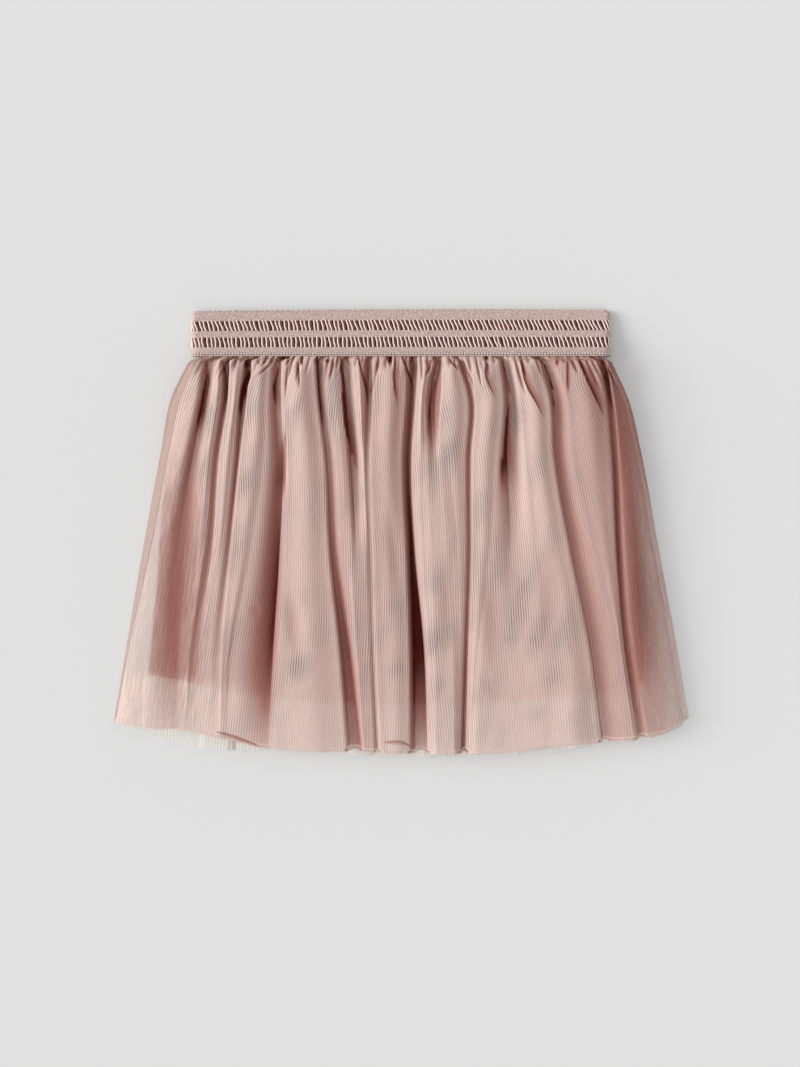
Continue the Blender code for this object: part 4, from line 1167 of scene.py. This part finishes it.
def bandShadeBacking():  # a dark sheet inside the openings, painted shade for the inside of the band between the rungs
    vertices, faces = [], []
    for low, high in band["openings"]:
        faces += gridFaces(band["around"], 2, len(vertices), joinRows=True)
        vertices += [bandPoint(j / band["around"], share, band["insideAt"])
                     for j in range(band["around"])
                     for share in (low - band["insideOver"], high + band["insideOver"])]
    return meshPiece("waistbandInsideShade", vertices, faces)


def bandRing(name, share, inset, radius, sides):
    steps = band["ringSteps"]
    return tubes(name, [[bandPoint(k / steps, share, inset) for k in range(steps + 1)]], radius, sides)


def bandStitches():
    paths = []
    for i in range(band["stitches"]):
        start, end = ((i + share) / band["stitches"] for share in band["stitchSpan"])
        paths.append([bandPoint(start + (end - start) * t, band["stitchAt"], -band["stitchOver"] - bow)
                      for t, bow in ((0, 0), (0.5, band["stitchBow"]), (1, 0))])
    return tubes("waistbandStitches", paths, band["stitchRadius"], 5)


def makeElasticWeave():
    group, given, result = newGroup("elasticWeave", {
        "Tint": (0.5, 0.38, 0.34), "Dark": (0.3, 0.19, 0.16), "Pale": (0.75, 0.62, 0.57), "Speckle": 0.6,
        "Grain": 1900.0,
    }, {"Colour": "Color", "Height": "Float"})
    place = addNode(group, "ShaderNodeTexCoord").outputs["Object"]
    fine = addNode(group, "ShaderNodeTexNoise")
    feedAll(group, fine.inputs, {"Scale": given["Grain"], "Detail": 1.0, "Vector": place})
    spots = ramp(group, fine.outputs[0], 0.38, 0.62)
    mixed = blendColour(group, spots, given["Dark"], given["Pale"])
    colour = blendColour(group, given["Speckle"], given["Tint"], mixed)
    feedAll(group, result, {"Colour": colour, "Height": spots})
    return group


elasticWeave = makeElasticWeave()


elasticSurface = {"sockets": {"Roughness": 0.8}, "bump": (0.5, 0.15)}


def elasticMaterial(name, tint, speckle):
    material, tree, inputs = newMaterial(name, elasticSurface["sockets"])
    weave = addNode(tree, "ShaderNodeGroup", node_tree=elasticWeave)
    feedAll(tree, weave.inputs, {"Tint": tint, "Speckle": speckle})
    feed(tree, inputs["Base Color"], weave.outputs["Colour"])
    bump(tree, inputs, weave.outputs["Height"], *elasticSurface["bump"])
    return material


elasticLooks = {  # tint and speckle
    "waistbandWeave": ((0.53, 0.39, 0.345), 0.68),
    # the rungs' tints hold a painted highlight on the bright cords and painted shade on the deep ones
    "waistbandRungs": ((0.92, 0.74, 0.68), 0.10),
    "waistbandRungsDeep": ((0.34, 0.12, 0.10), 0.08),
    "waistbandInsideShade": ((0.07, 0.014, 0.011), 0.04),
    "waistbandFootEdge": ((0.58, 0.43, 0.38), 0.12),
    "waistbandStitches": ((0.95, 0.84, 0.79), 0.1),
    "waistbandStitchGroove": ((0.11, 0.04, 0.033), 0.1),
}
strips = bandStrips()
rungs, rungsDeep = bandRungs()
inside = bandShadeBacking()
footEdge = bandRing("waistbandFootEdge", *band["footEdge"])
# a dark ring under the stitches, painted shade in the groove between them
stitchGroove = bandRing("waistbandStitchGroove", *band["groove"])
stitchLine = bandStitches()
for piece in (strips, rungs, rungsDeep, inside, footEdge, stitchLine, stitchGroove):
    finishPiece(piece, elasticMaterial("elastic_" + piece.name, *elasticLooks[piece.name]),
                "waistband_elastic" if piece is strips else None)
print("waistband made")

# side seam

sideSeam = {
    "out": 1.2, "in": 0.4, "over": 0.12, "pitch": 2.0, "stitch": 1.1, "threadOver": 0.15, "radius": 0.18,
}


def seamPoints():
    rows = []
    for (x, y, _), down in zip(panels["tulleOuterFront"]["points"][:, 0], panels["tulleOuterFront"]["downs"]):
        left = edgeOf("left", down)
        xs = np.array([max(x - sideSeam["out"], left + 0.2), x, x + sideSeam["in"]])
        rows.append(np.stack([xs, np.full(3, y), sideHeight(xs - left, down) + sideSeam["over"]], axis=1))
    return np.array(rows)


seamLine = seamPoints()
seamTape = clothMesh("sideSeamTape", seamLine, shade=0.14, cover=0.22, crinkle=0.1,
                     across=acrossCloth(seamLine), along=downCloth(panels["tulleOuterFront"]["downs"]))
finishPiece(seamTape, tulleMaterials["outer"])


def seamStitches():
    line = seamLine[:, 1] + (0, 0, sideSeam["threadOver"])
    length = lengthsAlong(line)
    starts = np.arange(int(length[-1] / sideSeam["pitch"])) * sideSeam["pitch"]
    paths = [pointsAt(start + np.array([0, 0.5, 1]) * sideSeam["stitch"], length, line) for start in starts]
    return tubes("sideSeamStitches", paths, sideSeam["radius"], 5)


seamThread = finishPiece(seamStitches(), elasticMaterial("seam_thread", (0.50, 0.24, 0.20), 0.1))
print("side seam made")

# floor, light and camera

studio = {
    "floorSize": 8.0, "floorTone": 0.745, "floorDrop": -0.0002, "sunStrength": 2.75, "sunElevation": 23.0,
    "sunTurn": -6.0, "sunSoftness": 34.0, "sky": 0.665, "centre": (-0.6, -0.3), "height": 1.788,
    "lens": 100.0, "sensor": 36.0,
}


def makeFloor():
    half = studio["floorSize"] / 2
    mesh = bpy.data.meshes.new("floor")
    corners = [(x * half, y * half, studio["floorDrop"]) for x, y in ((-1, -1), (1, -1), (1, 1), (-1, 1))]
    mesh.from_pydata(corners, [], [(0, 1, 2, 3)])
    paper = newMaterial("floor_paper", {"Base Color": (studio["floorTone"],) * 3, "Roughness": 1.0,
                                        "Specular IOR Level": 0.0})
    mesh.materials.append(paper[0])
    placed("floor", mesh)


def makeLight():
    sun = bpy.data.lights.new("studioLight", "SUN")
    sun.energy = studio["sunStrength"]
    sun.angle = math.radians(studio["sunSoftness"])
    down, turn = math.radians(studio["sunElevation"]), math.radians(studio["sunTurn"])
    way = Vector((math.cos(down) * math.cos(turn), math.cos(down) * math.sin(turn), -math.sin(down)))
    placed("studioLight", sun).rotation_euler = way.to_track_quat("-Z", "Y").to_euler()
    world = bpy.data.worlds.new("studioSky")
    world.use_nodes = True
    feedAll(world.node_tree, world.node_tree.nodes["Background"].inputs,
            {"Color": (1, 1, 1), "Strength": studio["sky"]})
    bpy.context.scene.world = world


def makeCamera():
    camera = bpy.data.cameras.new("camera")
    camera.lens = studio["lens"]
    camera.sensor_width = studio["sensor"]
    eye = placed("camera", camera)
    eye.location = (studio["centre"][0] * mm, studio["centre"][1] * mm, studio["height"])
    bpy.context.scene.camera = eye
    bpy.context.scene.view_settings.view_transform = "Standard"


makeFloor()
makeLight()
makeCamera()
print("studio made")
